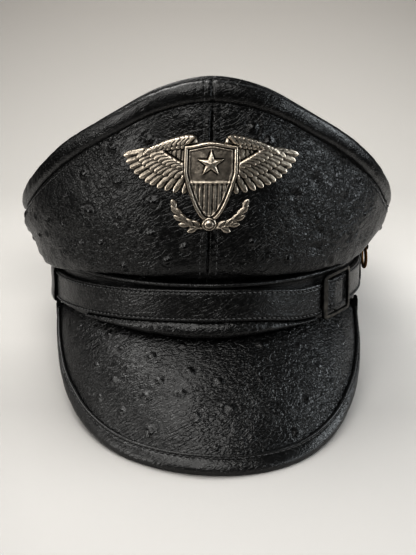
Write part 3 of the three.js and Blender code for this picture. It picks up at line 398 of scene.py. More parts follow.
def scattered(points, allowed, apart, seed, taken=()):
    """Points of a grid picked at random where allowed, no closer to each other than apart."""
    rng = np.random.default_rng(seed)
    flat = points.reshape(-1, 3)
    picked = [np.asarray(t) for t in taken]
    for i in rng.permutation(np.flatnonzero(allowed.ravel()))[:QUILL_TRIES]:
        gaps = ((np.array(picked) - flat[i]) ** 2).sum(1) if picked else np.array([math.inf])
        if gaps.min() >= apart**2:
            picked.append(flat[i])
    found = np.array(picked[len(taken):]).reshape(-1, 3)
    return found, rng.uniform(*QUILL_SIZES, len(found))


def quill_lift(points, centres, sizes, high):
    """Raised follicles: a flat-topped dome with a faint ring fold round it."""
    lift = np.zeros(points.shape[:-1])
    for centre, size in zip(centres, sizes):
        r = np.linalg.norm(points - centre, axis=-1) / (QUILL_WIDE * size)
        lift += high * size * (np.exp(-(r**QUILL_SHARP)) + furrows(r, QUILL_FURROWS))
    return lift


# Meshes


def make_mesh(name, verts, faces, *materials, smoothed=True):
    """An object from points in metres and arrays of faces."""
    mesh = bpy.data.meshes.new(name)
    mesh.from_pydata(verts.tolist(), [], [face for part in faces for face in part.tolist()])
    mesh.validate()
    mesh.polygons.foreach_set("use_smooth", np.full(len(mesh.polygons), smoothed))
    for material in materials:
        mesh.materials.append(material)
    obj = bpy.data.objects.new(name, mesh)
    bpy.context.scene.collection.objects.link(obj)
    return obj


def grid_faces(n, m, loop_u=False, loop_v=False, start=0, flip=False):
    u = np.arange(n if loop_u else n - 1)
    v = np.arange(m if loop_v else m - 1)
    a, b = np.meshgrid(u, v, indexing="ij")
    a2, b2 = (a + 1) % n, (b + 1) % m
    quads = [a * m + b, a2 * m + b, a2 * m + b2, a * m + b2]
    if flip:
        quads.reverse()
    return np.stack([q.ravel() for q in quads], axis=1) + start


def make_tube(name, rings, material, loop_u=False):
    """A closed skin over rings (n, m, 3) of points, each ring a closed outline."""
    n, m = rings.shape[:2]
    verts = rings.reshape(-1, 3)
    # a ring's turning against the way the rings go says which side is out
    centre = rings.mean(1, keepdims=True)
    spins = np.cross(rings - centre, np.roll(rings, -1, 1) - centre).sum(1)[:-1]
    flip = (spins * (centre[1:, 0] - centre[:-1, 0])).sum() > 0
    faces = [grid_faces(n, m, loop_u, True, flip=not flip)]
    if not loop_u:
        verts = np.concatenate([verts, centre[0], centre[-1]])
        k, last = np.arange(m), (n - 1) * m
        k2 = (k + 1) % m
        for a, b, hub in ((k, k2, n * m), (last + k2, last + k, n * m + 1)):
            faces.append(np.stack([b, a, 0 * k + hub] if flip else [a, b, 0 * k + hub], 1))
    return make_mesh(name, to_rest(verts), faces, material)


def make_shell(name, outer, wall, flip):
    """A wall: a fine outer face (n, m, 3), a coarser inner face behind it and closed edges."""
    n, m = outer.shape[:2]
    pick = np.ix_(*(np.unique(np.append(np.arange(0, k, INNER_STEP), k - 1)) for k in (n, m)))
    coarse = outer[pick]
    inner = coarse + (wall if flip else -wall) * grid_normals(outer)[pick]
    padded = np.pad(inner, ((1, 1), (1, 1), (0, 0)), mode="edge")
    edge = np.pad(coarse, ((1, 1), (1, 1), (0, 0)), mode="edge")
    for side in (np.s_[0], np.s_[-1], np.s_[:, 0], np.s_[:, -1]):
        padded[side] = edge[side]
    verts = np.concatenate([outer.reshape(-1, 3), padded.reshape(-1, 3)])
    outside = grid_faces(n, m, flip=flip)
    inside = grid_faces(*padded.shape[:2], start=n * m, flip=not flip)
    obj = make_mesh(name, to_rest(verts), [outside, inside], ostrich, flesh)
    index = np.zeros(len(obj.data.polygons), np.int32)
    index[len(outside):] = 1
    obj.data.polygons.foreach_set("material_index", index)
    return obj


def make_stitches(name, path, normals, kind, lean=0.0, sink=0.3):
    """Threads laid along a path on a surface, each a short bent capsule. Points in millimetres."""
    pitch, long, radius = STITCHES[kind]
    arc = np.concatenate([[0], np.cumsum(np.linalg.norm(np.diff(path, axis=0), axis=1))])
    count = max(1, int(arc[-1] / pitch))
    at = (np.arange(count) + 0.5) * arc[-1] / count

    def read(values, ahead=0.0):
        return np.stack([np.interp(at + ahead, arc, values[:, k]) for k in range(3)], axis=1)

    centre, normal = read(path), unit(read(normals))
    along = unit(read(path, 0.3) - read(path, -0.3))
    along = along * math.cos(lean) + np.cross(along, normal) * math.sin(lean)
    side = np.cross(along, normal)
    t = np.array([-1, -0.8, -0.4, 0, 0.4, 0.8, 1])
    thick = radius * np.sqrt(np.maximum(1 - np.abs(t) ** 3, 0.03))
    drop = radius * (1 - sink) - radius * 1.9 * t**4
    across, high = squared_turn(6, 1)
    ring = (
        centre[:, None, None]
        + along[:, None, None] * (t * long / 2)[None, :, None, None]
        + normal[:, None, None] * (drop[:, None] + thick[:, None] * high)[None, :, :, None]
        + side[:, None, None] * (thick[:, None] * across)[None, :, :, None]
    )
    one = grid_faces(len(t), len(high), loop_v=True, flip=True)
    faces = one[None] + (np.arange(count) * len(t) * len(high))[:, None, None]
    obj = make_mesh(name, to_rest(ring.reshape(-1, 3)), [faces.reshape(-1, 4)], thread)
    finish_piece(obj, "smooth_leather")


def mark(obj, name, values):
    """A number at each vertex that a material reads."""
    attribute = obj.data.attributes.new(name, "FLOAT", "POINT")
    padded = np.zeros(len(obj.data.vertices), np.float32)
    padded[: values.size] = values.ravel()
    attribute.data.foreach_set("value", padded)


def finish_piece(obj, slot, *nodes):
    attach(obj, "root")
    if nodes:
        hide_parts(*nodes)


# Materials


def new_material(name):
    material = bpy.data.materials.new(name)
    material.use_nodes = True
    return material, material.node_tree, material.node_tree.nodes["Principled BSDF"]


def add_node(tree, kind, inputs=None, **settings):
    node = tree.nodes.new("ShaderNode" + kind)
    for key, value in settings.items():
        setattr(node, key, value)
    for key, value in (inputs or {}).items():
        if isinstance(value, bpy.types.NodeSocket):
            tree.links.new(value, node.inputs[key])
        else:
            node.inputs[key].default_value = value
    return node


def add_noise(tree, where, scale, detail):
    return add_node(tree, "TexNoise", {"Vector": where, "Scale": scale, "Detail": detail})


def add_ramp(tree, factor, stops):
    ramp = add_node(tree, "ValToRGB", {"Fac": factor})
    elements = ramp.color_ramp.elements
    while len(elements) < len(stops):
        elements.new(0.5)
    for element, (at, color) in zip(elements, stops):
        element.position = at
        element.color = (*color, 1)
    return ramp.outputs["Color"]


def add_math(tree, operation, *values):
    return add_node(tree, "Math", dict(enumerate(values)), operation=operation).outputs[0]


def add_bump(tree, shader, height, strength, distance):
    inputs = {"Height": height, "Strength": strength, "Distance": distance}
    tree.links.new(add_node(tree, "Bump", inputs).outputs["Normal"], shader.inputs["Normal"])


def grey(value, warm=0.0):
    return (value * (1 + warm), value, value * (1 - warm))


DRIFT_SCALE, DRIFT_FAR = 60.0, 0.0035  # the grain's lines wander by this much
PATCH_SCALE = 28.0  # stretches of deeper and shallower grain
WRINKLE_LEANS, WRINKLE_STRETCH = (-0.5, 0.7), (3.6, 1.0, 0.9)
WRINKLE_SCALE, WRINKLE_SHARP = 0.62, 9.0
LOOSE_DEEPER, QUILL_CALMER, QUILL_SMOOTHER = 0.8, -0.75, -0.08
PEBBLE_SHARP, SECOND_WRINKLES = 2.6, 0.4
PATCH_STEEP, PATCH_SHIFT, PATCH_LEAST = 3.2, -0.7, 0.25
EDGE_STEEP, EDGE_SHIFT, STAIN_SCALE, PITTING_SCALE = 6.0, -2.6, 260.0, 900.0


def leather_material(name, painted_groove_shade, light, rough, grain, grain_deep, line_deep, warm=0.0, gloss=0.5):
    """Black leather: pebbled grain and drawn creases, gloss that varies with them, and painted
    shade: the colour is darker in the grooves and creases than on the raised plates.
    """
    material, tree, shader = new_material(name)
    calc = functools.partial(add_math, tree)
    where = add_node(tree, "TexCoord").outputs["Object"]
    drift = add_noise(tree, where, DRIFT_SCALE, 3.0).outputs["Color"]
    bent = add_node(tree, "VectorMath", {0: drift, "Scale": DRIFT_FAR}, operation="SCALE")
    moved = add_node(tree, "VectorMath", {0: where, 1: bent.outputs[0]}, operation="ADD")
    coords = moved.outputs[0]
    cells = add_node(
        tree, "TexVoronoi", {"Vector": coords, "Scale": grain}, feature="DISTANCE_TO_EDGE"
    )
    pebble = calc("MULTIPLY", cells.outputs["Distance"], PEBBLE_SHARP)
    pebble = calc("MINIMUM", pebble, 1.0)
    # two sets of drawn wrinkles that cross, the second fainter
    folds = []
    for lean in WRINKLE_LEANS:
        turned = {"Vector": coords, "Rotation": (0.15, lean, 0.1), "Scale": WRINKLE_STRETCH}
        stretch = add_node(tree, "Mapping", turned, vector_type="TEXTURE").outputs[0]
        lines = add_noise(tree, stretch, grain * WRINKLE_SCALE, 1.0).outputs[0]
        fold = calc("ABSOLUTE", calc("SUBTRACT", lines, 0.5))
        fold = calc("MULTIPLY", fold, WRINKLE_SHARP)
        folds.append(calc("MINIMUM", fold, 1.0))
    fainter = calc("MULTIPLY_ADD", folds[1], SECOND_WRINKLES, 1 - SECOND_WRINKLES)
    crease = calc("MULTIPLY", folds[0], fainter)
    patch = add_noise(tree, where, PATCH_SCALE, 4.0).outputs[0]
    drawn = calc("MULTIPLY_ADD", patch, PATCH_STEEP, PATCH_SHIFT)
    drawn = calc("MAXIMUM", drawn, PATCH_LEAST)
    lines = calc("MULTIPLY", calc("MULTIPLY", crease, line_deep), drawn)
    height = calc("MULTIPLY_ADD", pebble, grain_deep, lines)
    # loose leather is drawn into deeper wrinkles, and raised quills are tight and rubbed smooth
    for attribute, deeper in (("loose", LOOSE_DEEPER), ("quill", QUILL_CALMER)):
        share = add_node(tree, "Attribute", attribute_name=attribute).outputs["Fac"]
        by = calc("MULTIPLY_ADD", share, deeper, 1.0)
        height = calc("MULTIPLY", height, by)
    add_bump(tree, shader, height, 1.0, MM)
    plate = calc("MULTIPLY", pebble, crease)
    # painted shade: the base colour runs from the groove shade in the grooves and creases up to the
    # lighter colour on the raised plates
    color = add_ramp(tree, plate, [(0.1, grey(painted_groove_shade, warm)), (0.7, grey(light, warm))])
    tree.links.new(color, shader.inputs["Base Color"])
    mixed = calc("MULTIPLY_ADD", patch, 0.4, calc("MULTIPLY", plate, 0.6))
    wear = add_ramp(tree, mixed, [(0.2, grey(rough + 0.06)), (0.8, grey(rough - 0.04))])
    wear = calc("MULTIPLY_ADD", share, QUILL_SMOOTHER, wear)
    tree.links.new(wear, shader.inputs["Roughness"])
    shader.inputs["Specular IOR Level"].default_value = gloss
    return material


def metal_material(name, deep, high, rough, scratch, attribute=None):
    """Metal whose hollows are darker and duller than its rubbed parts, read from a given attribute;
    without one, its pointy edges are painted lighter, a painted highlight along them.
    """
    material, tree, shader = new_material(name)
    calc = functools.partial(add_math, tree)
    where = add_node(tree, "TexCoord").outputs["Object"]
    stain = add_noise(tree, where, STAIN_SCALE, 5.0).outputs[0]
    if attribute:
        wear_and_edge_highlight = add_node(tree, "Attribute", attribute_name=attribute).outputs["Fac"]
    else:
        # painted highlight: the pointy edges are made lighter in colour
        edge = add_node(tree, "NewGeometry").outputs["Pointiness"]
        wear_and_edge_highlight = calc("MULTIPLY_ADD", edge, EDGE_STEEP, EDGE_SHIFT)
    share = calc("MULTIPLY_ADD", stain, 0.5, calc("ADD", wear_and_edge_highlight, -0.25))
    middle = tuple(0.42 * a + 0.58 * b for a, b in zip(high, deep))
    color = add_ramp(tree, share, [(0.22, deep), (0.5, middle), (0.85, high)])
    tree.links.new(color, shader.inputs["Base Color"])
    dull = add_ramp(tree, share, [(0.0, grey(rough + 0.3)), (1.0, grey(rough))])
    tree.links.new(dull, shader.inputs["Roughness"])
    shader.inputs["Metallic"].default_value = 1.0
    pitting = add_noise(tree, where, PITTING_SCALE, 3.0).outputs[0]
    add_bump(tree, shader, pitting, scratch, 0.1 * MM)
    return material


# Leathers: painted shade in the grain's grooves, colour on top, roughness, grain per metre, its and
# the wrinkles' depth
ostrich = leather_material("ostrich_leather", 0.0, 0.012, 0.26, 760.0, 0.05, 0.23, gloss=0.68)
smooth = leather_material("smooth_leather", 0.0, 0.012, 0.26, 800.0, 0.045, 0.11, 0.02, gloss=0.75)
band_skin = leather_material("band_leather", 0.0, 0.012, 0.27, 800.0, 0.1, 0.08, gloss=0.7)
flesh = leather_material("leather_back", 0.02, 0.035, 0.8, 700.0, 0.06, 0.02, 0.03, gloss=0.2)
thread = leather_material("thread", 0.03, 0.1, 0.35, 3200.0, 0.03, 0.03, gloss=0.9)
pewter = metal_material("aged_pewter", (0.01, 0.008, 0.006), (0.7, 0.63, 0.54), 0.27, 0.5, "wear_and_edge_highlight")
brass = metal_material("old_brass", (0.12, 0.06, 0.02), (0.72, 0.45, 0.16), 0.25, 0.3)
# the buckle's lighter colour on its edges is a painted highlight
black_metal = metal_material("black_metal", (0.01, 0.01, 0.01), (0.4, 0.37, 0.33), 0.18, 0.1)


# Head band


def turn_from_front(angle):
    return np.abs((np.asarray(angle, float) + 180) % 360 - 180)


def band_low(angle):
    return BAND_SOLE * smooth_step(turn_from_front(angle) / DIP_ANGLE)


def make_band():
    angle = np.arange(0, 360, 0.8)
    low, high, edge = band_low(angle), BAND_HEIGHT, 0.3
    bead_low = BAND_HEIGHT - BAND_BEAD_TALL
    groove_up, groove_wide, groove_deep = 2.7, 0.5, 0.25
    rings, _ = sweep(angle, [
        (-BAND_WALL, low + edge), (-BAND_WALL + edge, low), (-edge, low), (0, low + edge),
        (0, low + groove_up - groove_wide), (-groove_deep, low + groove_up),
        (0, low + groove_up + groove_wide), (0, (low + bead_low) / 2), (0, bead_low - 0.4),
        (BAND_BEAD * 0.7, bead_low + 0.1), (BAND_BEAD, bead_low + BAND_BEAD_TALL * 0.35),
        (BAND_BEAD * 0.85, high - 0.5), (BAND_BEAD * 0.1, high), (-BAND_WALL + edge, high),
        (-BAND_WALL, high - edge), (-BAND_WALL, high / 2),
    ], 48)
    rings = rings + outward_at(angle)[:, None] * rough(rings, "band")[..., None]
    obj = make_tube("band_leather_piece", rings, band_skin, loop_u=True)
    finish_piece(obj, "band_leather", "head_band")


# Crown


def crown_column(column, angle):
    return read_rows(CROWN_ROWS, "angle", column, turn_from_front(angle))


def crest_up(angle):
    return CROWN_FRONT * crown_column("crest", angle)


def rim_out(angle):
    return CROWN_FLARE * crown_column("flare", angle)


def place_on_crown(angle, out, up):
    rise = (up - BAND_HEIGHT) / (crest_up(angle) - ROLL_TALL - BAND_HEIGHT)
    return place(angle + CROWN_TWIST * np.clip(rise, 0, 1), out, up)


def crown_corners(angle):
    slump = SIDE_SLUMP * smooth_step(1 - turn_from_front(np.asarray(angle) + 90) / SLUMP_ANGLE)
    hem_out = -(BAND_WALL + FIT_GAP)
    lip_out = CROWN_FLARE * crown_column("lip_out", angle) + slump * SLUMP_SWELL
    lip_up = CROWN_FRONT * crown_column("lip_up", angle) - slump
    belly_out = CROWN_FLARE * crown_column("belly_out", angle)
    belly_up = CROWN_FRONT * crown_column("belly_up", angle) - slump / 2
    groove_out = rim_out(angle) - ROLL_THICK / 2
    groove_up = crest_up(angle) - ROLL_TALL - FIT_GAP
    swell = CROWN_FULL + slump * SLUMP_SWELL
    return section_corners([
        (groove_out, groove_up),
        ((belly_out + groove_out) / 2 + swell, (belly_up + groove_up) / 2),
        (belly_out, belly_up),
        (lip_out, lip_up),
        (BAND_BEAD + FIT_GAP, BAND_HEIGHT + CROWN_LIFT),
        (hem_out, BAND_HEIGHT),
        (hem_out, BAND_HEIGHT - CROWN_TUCK),
    ], len(angle))


def dent_at(angle, up):
    depth = np.zeros(np.broadcast(angle, up).shape)
    for dent in CROWN_DENTS:
        across = hill(angle, dent["angle"], dent["wide"])
        along = hill(up, dent["up"] * CROWN_FRONT, dent["tall"] * CROWN_FLARE)
        depth += dent["deep"] * CROWN_FLARE * across * along
    return depth


def crown_face(angle, shares):
    profile = through_points(crown_corners(angle), shares)
    out, up = profile[..., 0], profile[..., 1]
    around = angle[:, None]
    clear = smooth_step((out - BAND_BEAD) / DENT_FADE)
    return place_on_crown(around, out - clear * dent_at(around, up), up), out, up


def make_crown():
    fine = np.concatenate([np.arange(0, 96, 0.36), np.arange(96, 180, 0.75), [180]])
    shares = np.concatenate([
        np.linspace(0, 0.5, 152, endpoint=False),
        np.linspace(0.5, 0.84, 30, endpoint=False),
        np.linspace(0.84, 1, 5),
    ])
    seam_angle = SEAM_GAP / 2 / (BAND_HALF_WIDTH + CROWN_FLARE) / DEG
    turns = np.clip(fine, seam_angle, 180 - seam_angle)
    for side, tag in ((1, "left"), (-1, "right")):
        angle = side * turns
        base, out, up = crown_face(angle, shares)
        normal = grid_normals(base)
        if (normal[:, :20] * (base[:, :20] * (1, 1, 0))).sum() < 0:
            normal = -normal
        free = smooth_step((out - BAND_BEAD - 0.6) / 3) * smooth_step(shares / 0.03)[None]
        turn = turns[:, None] + 0 * up
        from_seam = np.minimum(turn, 180 - turn) * DEG * (BAND_HALF_LENGTH + out)
        down = np.linalg.norm(base - base[:, :1], axis=-1)
        # big soft folds, finer creases, and a much more wrinkled stretch at the wearer's left
        wild = smooth_step(1 - np.abs(angle[:, None] - WILD_ANGLE) / WILD_WIDE) * (side > 0)
        wild = wild * smooth_step((up - WILD_UP) / WILD_FADE)
        low = smooth_step(1 - (up - GATHER_UP) / GATHER_FADE)
        low = low * smooth_step((turn - GATHER_ANGLE) / GATHER_IN)
        lift = rough(base, "crown") + wild * rough(base, "crown_wild")
        lift += low * rough(base, "crown_low")
        spots, sizes = spots_on(base, normal, CROWN_QUILLS)
        pits, pit_sizes = spots_on(base, normal, CROWN_PITS)
        mine = spots[:, 0] * side > 0
        pit_mine = pits[:, 0] * side > 0
        hidden = (turn > HIDDEN_ANGLE) & (out > HIDDEN_OUT) & (up > HIDDEN_UP)
        hidden &= from_seam > HIDDEN_SEAM
        more, more_sizes = scattered(base, hidden, HIDDEN_APART, HIDDEN_SEED[tag], spots)
        raised = quill_lift(base, spots[mine], sizes[mine], QUILL_HIGH["front"])
        raised += quill_lift(base, more, more_sizes, QUILL_HIGH["hidden"])
        lift += raised
        for centre, size in zip(pits[pit_mine], pit_sizes[pit_mine]):
            r = np.linalg.norm(base - centre, axis=-1) / (PIT_WIDE * size)
            lift += size * furrows(r, PIT_FURROWS)
        # the seam's turned edges, the pull of the stitches, and at the ears a swell up to the roll
        pull = SEAM_STITCH[tag]
        seam = furrows(from_seam, SEAM_FURROWS) - SEAM_PULL * hill(from_seam, pull, SEAM_PULL_WIDE)
        swell = hill(down, 0, EAR_SWELL_DOWN) * smooth_step(down / 1.6)
        rim = furrows(down, RIM_FURROWS) + EAR_SWELL * swell * hill(turn, 90, EAR_SWELL_ANGLE)
        calm = smooth_step((from_seam - 1) / 6)
        face = base + normal * (free * (calm * lift + seam + rim))[..., None]
        obj = make_shell(f"crown_panel_{tag}_leather", face, CROWN_WALL, side > 0)
        mark(obj, "loose", wild)
        mark(obj, "quill", np.clip(raised, 0, 1))
        finish_piece(obj, "ostrich_leather", f"crown_panel_{tag}")
        reach = shares < SEAM_STITCHED
        for end, other_end in (("front", turns > 90), ("back", turns < 90)):
            row = np.argmin(np.abs(from_seam[:, 60] - pull) + other_end * 1e3)
            make_stitches(f"seam_stitch_{end}_{tag}", face[row, reach], normal[row, reach], "seam")
        pick = np.arange(len(turns)), np.argmin(np.abs(down - RIM_STITCH), axis=1)
        make_stitches(f"rim_stitch_{tag}", face[pick], normal[pick], "rim")


def make_roll():
    angle = np.arange(0, 360, 0.5)
    across, along = squared_turn(40, ROLL_SQUARED)
    out = (rim_out(angle) - ROLL_THICK / 2)[:, None] + across * ROLL_THICK / 2
    up = (crest_up(angle) - ROLL_TALL / 2)[:, None] + along * ROLL_TALL / 2
    rings = place_on_crown(angle[:, None], out, up)
    normal = from_middles(rings)
    lift = rough(rings, "roll")
    # joints of the roll in front, behind and near the ears
    for joint, wide in ROLL_JOINTS:
        gone = ((angle - joint + 180) % 360 - 180) * DEG * BAND_HALF_LENGTH
        ridge = JOINT_RIDGE * hill(np.abs(gone), JOINT_RIDGE_AT, JOINT_RIDGE_WIDE)
        lift = lift - (JOINT_DEEP * hill(gone, 0, wide) - ridge)[:, None]
    row = np.argmin(np.abs(angle - 360 + SEAM_STITCH["right"] / BAND_HALF_LENGTH / DEG))
    lift[row] -= SEAM_PULL
    rings = rings + normal * lift[..., None]
    obj = make_tube("crown_roll_leather", rings, smooth, loop_u=True)
    seen = np.r_[31:40, 0:12]
    make_stitches("roll_stitch", rings[row, seen], normal[row, seen], "roll")
    finish_piece(obj, "smooth_leather", "crown_roll")


def rim_waves(count):
    samples = 180
    angle = (np.arange(samples) + 0.5) / samples * 180
    up = crest_up(angle)
    return [(1 if k == 0 else 2) * (up * np.cos(k * angle * DEG)).mean() for k in range(count)]


def top_up(angle, share, waves):
    up = 0 * angle * share
    rest = crest_up(angle) + 0 * share
    for k, wave in enumerate(waves):
        up = up + wave * share**k * np.cos(k * angle * DEG)
        rest = rest - wave * np.cos(k * angle * DEG)
    # what the waves leave of the rim's height fades soon, so nothing is pinched in the middle
    return up + rest * share ** len(waves) - TOP_SAG * (1 - share * share)


def make_top():
    waves = rim_waves(8)
    angle = np.arange(0, 360, 1.2)[:, None]
    bead = 1 - TOP_BEAD_WIDE / (BAND_HALF_WIDTH + CROWN_FLARE)  # where the piping starts
    last_flat = bead - 0.012
    flat = np.linspace(0.02, last_flat, 84)[None]

    def ring(share, lift, inward=0.0):
        share = np.atleast_2d(share)
        rim_at = rim_out(angle) - ROLL_THICK - FIT_GAP - inward
        rim = place_on_crown(angle, rim_at, crest_up(angle))
        up = top_up(angle, share, waves) + lift
        return np.stack([rim[..., 0] * share, rim[..., 1] * share, up], axis=-1)

    field = ring(flat, -TOP_BEAD)
    normal = grid_normals(field, loop_u=True)
    if normal[..., 2].mean() < 0:
        normal = -normal
    allowed = (flat > TOP_QUILLS_FROM) & (flat < TOP_QUILLS_TO)
    allowed = np.tile(allowed, (len(angle), 1))
    quills, sizes = scattered(field, allowed, TOP_APART, TOP_SEED)
    lift = rough(field, "top") + quill_lift(field, quills, sizes, QUILL_HIGH["top"])
    fade = smooth_step((last_flat - flat) / 0.05) * smooth_step((flat - 0.03) / 0.3)
    field = field + normal * (lift * fade)[..., None]
    # the piping: share of the way out, height in beads, and how far in, in its widths
    piping = (
        (bead - 0.004, -0.85, 0), (bead, 0.35, 0), (1, 0.85, 0.6), (1, 1, 0.38), (1, 0.8, 0.12),
        (1, 0.2, 0),
    )
    edge = [ring(share, TOP_BEAD * high, TOP_BEAD_WIDE * far_in) for share, high, far_in in piping]
    below = ring(np.append(1, np.linspace(0.97, 0.02, 20)), -TOP_BEAD - TOP_WALL)
    rings = np.concatenate([field, *edge, below], axis=1)
    n, m = rings.shape[:2]
    hubs = rings[:, [0, -1]].mean(0)
    verts = np.concatenate([rings.reshape(-1, 3), hubs])
    u, u2, hub = np.arange(n) * m, np.roll(np.arange(n), -1) * m, np.full(n, n * m)
    last = m - 1
    faces = [
        grid_faces(n, m, loop_u=True),
        np.stack([hub, u2, u], 1),
        np.stack([hub + 1, u + last, u2 + last], 1),
    ]
    a, b, c = verts[faces[0][0, :3]]
    if np.cross(b - a, c - a)[2] < 0:
        faces = [part[:, ::-1] for part in faces]
    obj = make_mesh("crown_top_leather", to_rest(verts), faces, ostrich)
    finish_piece(obj, "ostrich_leather", "crown_top")
    stitch = ring(bead - 0.03, -TOP_BEAD + 0.1)[:, 0]
    stitch = np.concatenate([stitch, stitch[:1]])
    make_stitches("top_stitch", stitch, np.tile([0.0, 0.0, 1.0], (len(stitch), 1)), "top")


# Strap, loops and buckle

STRAP_FRONT_UP = BAND_HEIGHT - BAND_BEAD_TALL - STRAP_BELOW_BEAD - STRAP_WIDE / 2
OVER_STRAP = FIT_GAP + STRAP_THICK + FIT_GAP


def strap_up(angle):
    angle = np.asarray(angle, float)
    droop = np.where(angle < 0, STRAP_DROOP_RIGHT, STRAP_DROOP_LEFT)
    sag = STRAP_SAG * hill(angle, STRAP_SAG_ANGLE, STRAP_SAG_WIDE)
    return STRAP_FRONT_UP - droop * np.sin(angle * DEG) ** 2 - sag


def strap_out(angle):
    past = np.abs(angle - BUCKLE_MIDDLE) - BAR_HOLD_ANGLE
    over_bar = smooth_step(1 - past / BAR_CLIMB_ANGLE)
    over_lap = smooth_step((angle - (180 - STRAP_LAP_ANGLE - STRAP_RISE_ANGLE)) / STRAP_RISE_ANGLE)
    return FIT_GAP + over_bar * (MID_BAR_THICK + FIT_GAP) + over_lap * (STRAP_THICK + FIT_GAP)


def make_strap():
    end = 180 + STRAP_LAP_ANGLE
    parts = np.arange(-end, 40, 0.7), np.arange(40, 66, 0.4), np.arange(66, end, 0.7), [end]
    angle = np.concatenate(parts)
    inner, middle = strap_out(angle), strap_up(angle)
    half, face, edge = STRAP_WIDE / 2, inner + STRAP_THICK, 0.3
    stitch = half - STRAP_STITCH_IN
    # out, and below or above the strap's middle: round one edge, and then round the other
    outline = [
        (inner, half - edge), (inner + edge, half), (face - STRAP_ROUND, half),
        (face - 0.15, half - STRAP_ROUND * 0.7), (face, stitch + 0.45),
        (face - STRAP_GROOVE, stitch), (face, stitch - 0.5), (face + 0.05, half * 0.5),
    ]
    columns = [(out, middle - down) for out, down in outline] + [(face + 0.12, middle)]
    columns += [(out, middle + rise) for out, rise in reversed(outline)] + [(inner, middle)]
    rings, out = sweep(angle, columns, 60)
    radial = outward_at(angle)
    lift = rough(rings, "strap") * (out > (inner + STRAP_THICK / 2)[:, None])
    obj = make_tube("strap_leather", rings + radial[:, None] * lift[..., None], smooth)
    finish_piece(obj, "smooth_leather", "strap")
    for sign, tag in ((1, "upper"), (-1, "lower")):
        path = place(angle, face - STRAP_GROOVE * 0.6, middle + sign * stitch)
        make_stitches(f"strap_stitch_{tag}", path, radial, "strap", THREAD_LEAN, THREAD_PROUD)


LOOP_HALF_ANGLE = LOOP_WIDE / 2 / BAND_HALF_WIDTH / DEG
RIGHT_LOOP_ANGLE = -(PEAK_ANGLE + RIGHT_LOOP_GAP + LOOP_HALF_ANGLE)
LEFT_LOOP_ANGLE = PEAK_ANGLE + LEFT_LOOP_GAP + LOOP_HALF_ANGLE


def make_loop(name, middle):
    angle = middle + np.linspace(-LOOP_HALF_ANGLE, LOOP_HALF_ANGLE, 15)
    ease = np.zeros(15)
    ease[[0, -1]], ease[[1, -2]] = 0.32, 0.08  # the loop's edges are rounded by this much
    half = ease * 0.5
    centre = strap_up(angle)
    high, low = centre + STRAP_WIDE / 2, centre - STRAP_WIDE / 2
    foot_up = np.minimum(high + LOOP_FOOT, BAND_HEIGHT - BAND_BEAD_TALL - FIT_GAP)
    under = np.minimum(band_low(angle), low + STRAP_ROUND) - FIT_GAP
    behind = -(BAND_WALL + FIT_GAP)
    leg_up = band_low(angle) + LOOP_LEG
    sole = LOOP_THICK * LOOP_SOLE_SHARE
    face, front, turned = OVER_STRAP + half, OVER_STRAP + LOOP_THICK - ease, FIT_GAP + LOOP_TURN
    corners = section_corners([
        (FIT_GAP + ease, foot_up - ease), (FIT_GAP + ease, high + LOOP_BEND),
        (face, high - FIT_GAP), (face, centre), (face, low + STRAP_ROUND),
        (turned, under - half), (behind - half, under - half), (behind - half, leg_up),
        (behind - LOOP_THICK, leg_up), (behind - LOOP_THICK, under - sole + ease),
        (turned + sole / 2, under - sole + ease), (front, low - FIT_GAP), (front, centre),
        (front, high + FIT_GAP), (FIT_GAP + LOOP_THICK - ease, foot_up - ease),
    ], len(angle))
    closed = np.concatenate([corners, corners[:, :1]], axis=1)
    section = through_points(closed, np.linspace(0, 1, 90, endpoint=False))
    rings = place(angle[:, None], section[..., 0], section[..., 1])
    rings = rings + rough(rings, "loop")[..., None] * (1.0, 1.0, 0.3)
    obj = make_tube(f"{name}_leather", rings, smooth)
    finish_piece(obj, "smooth_leather", name)


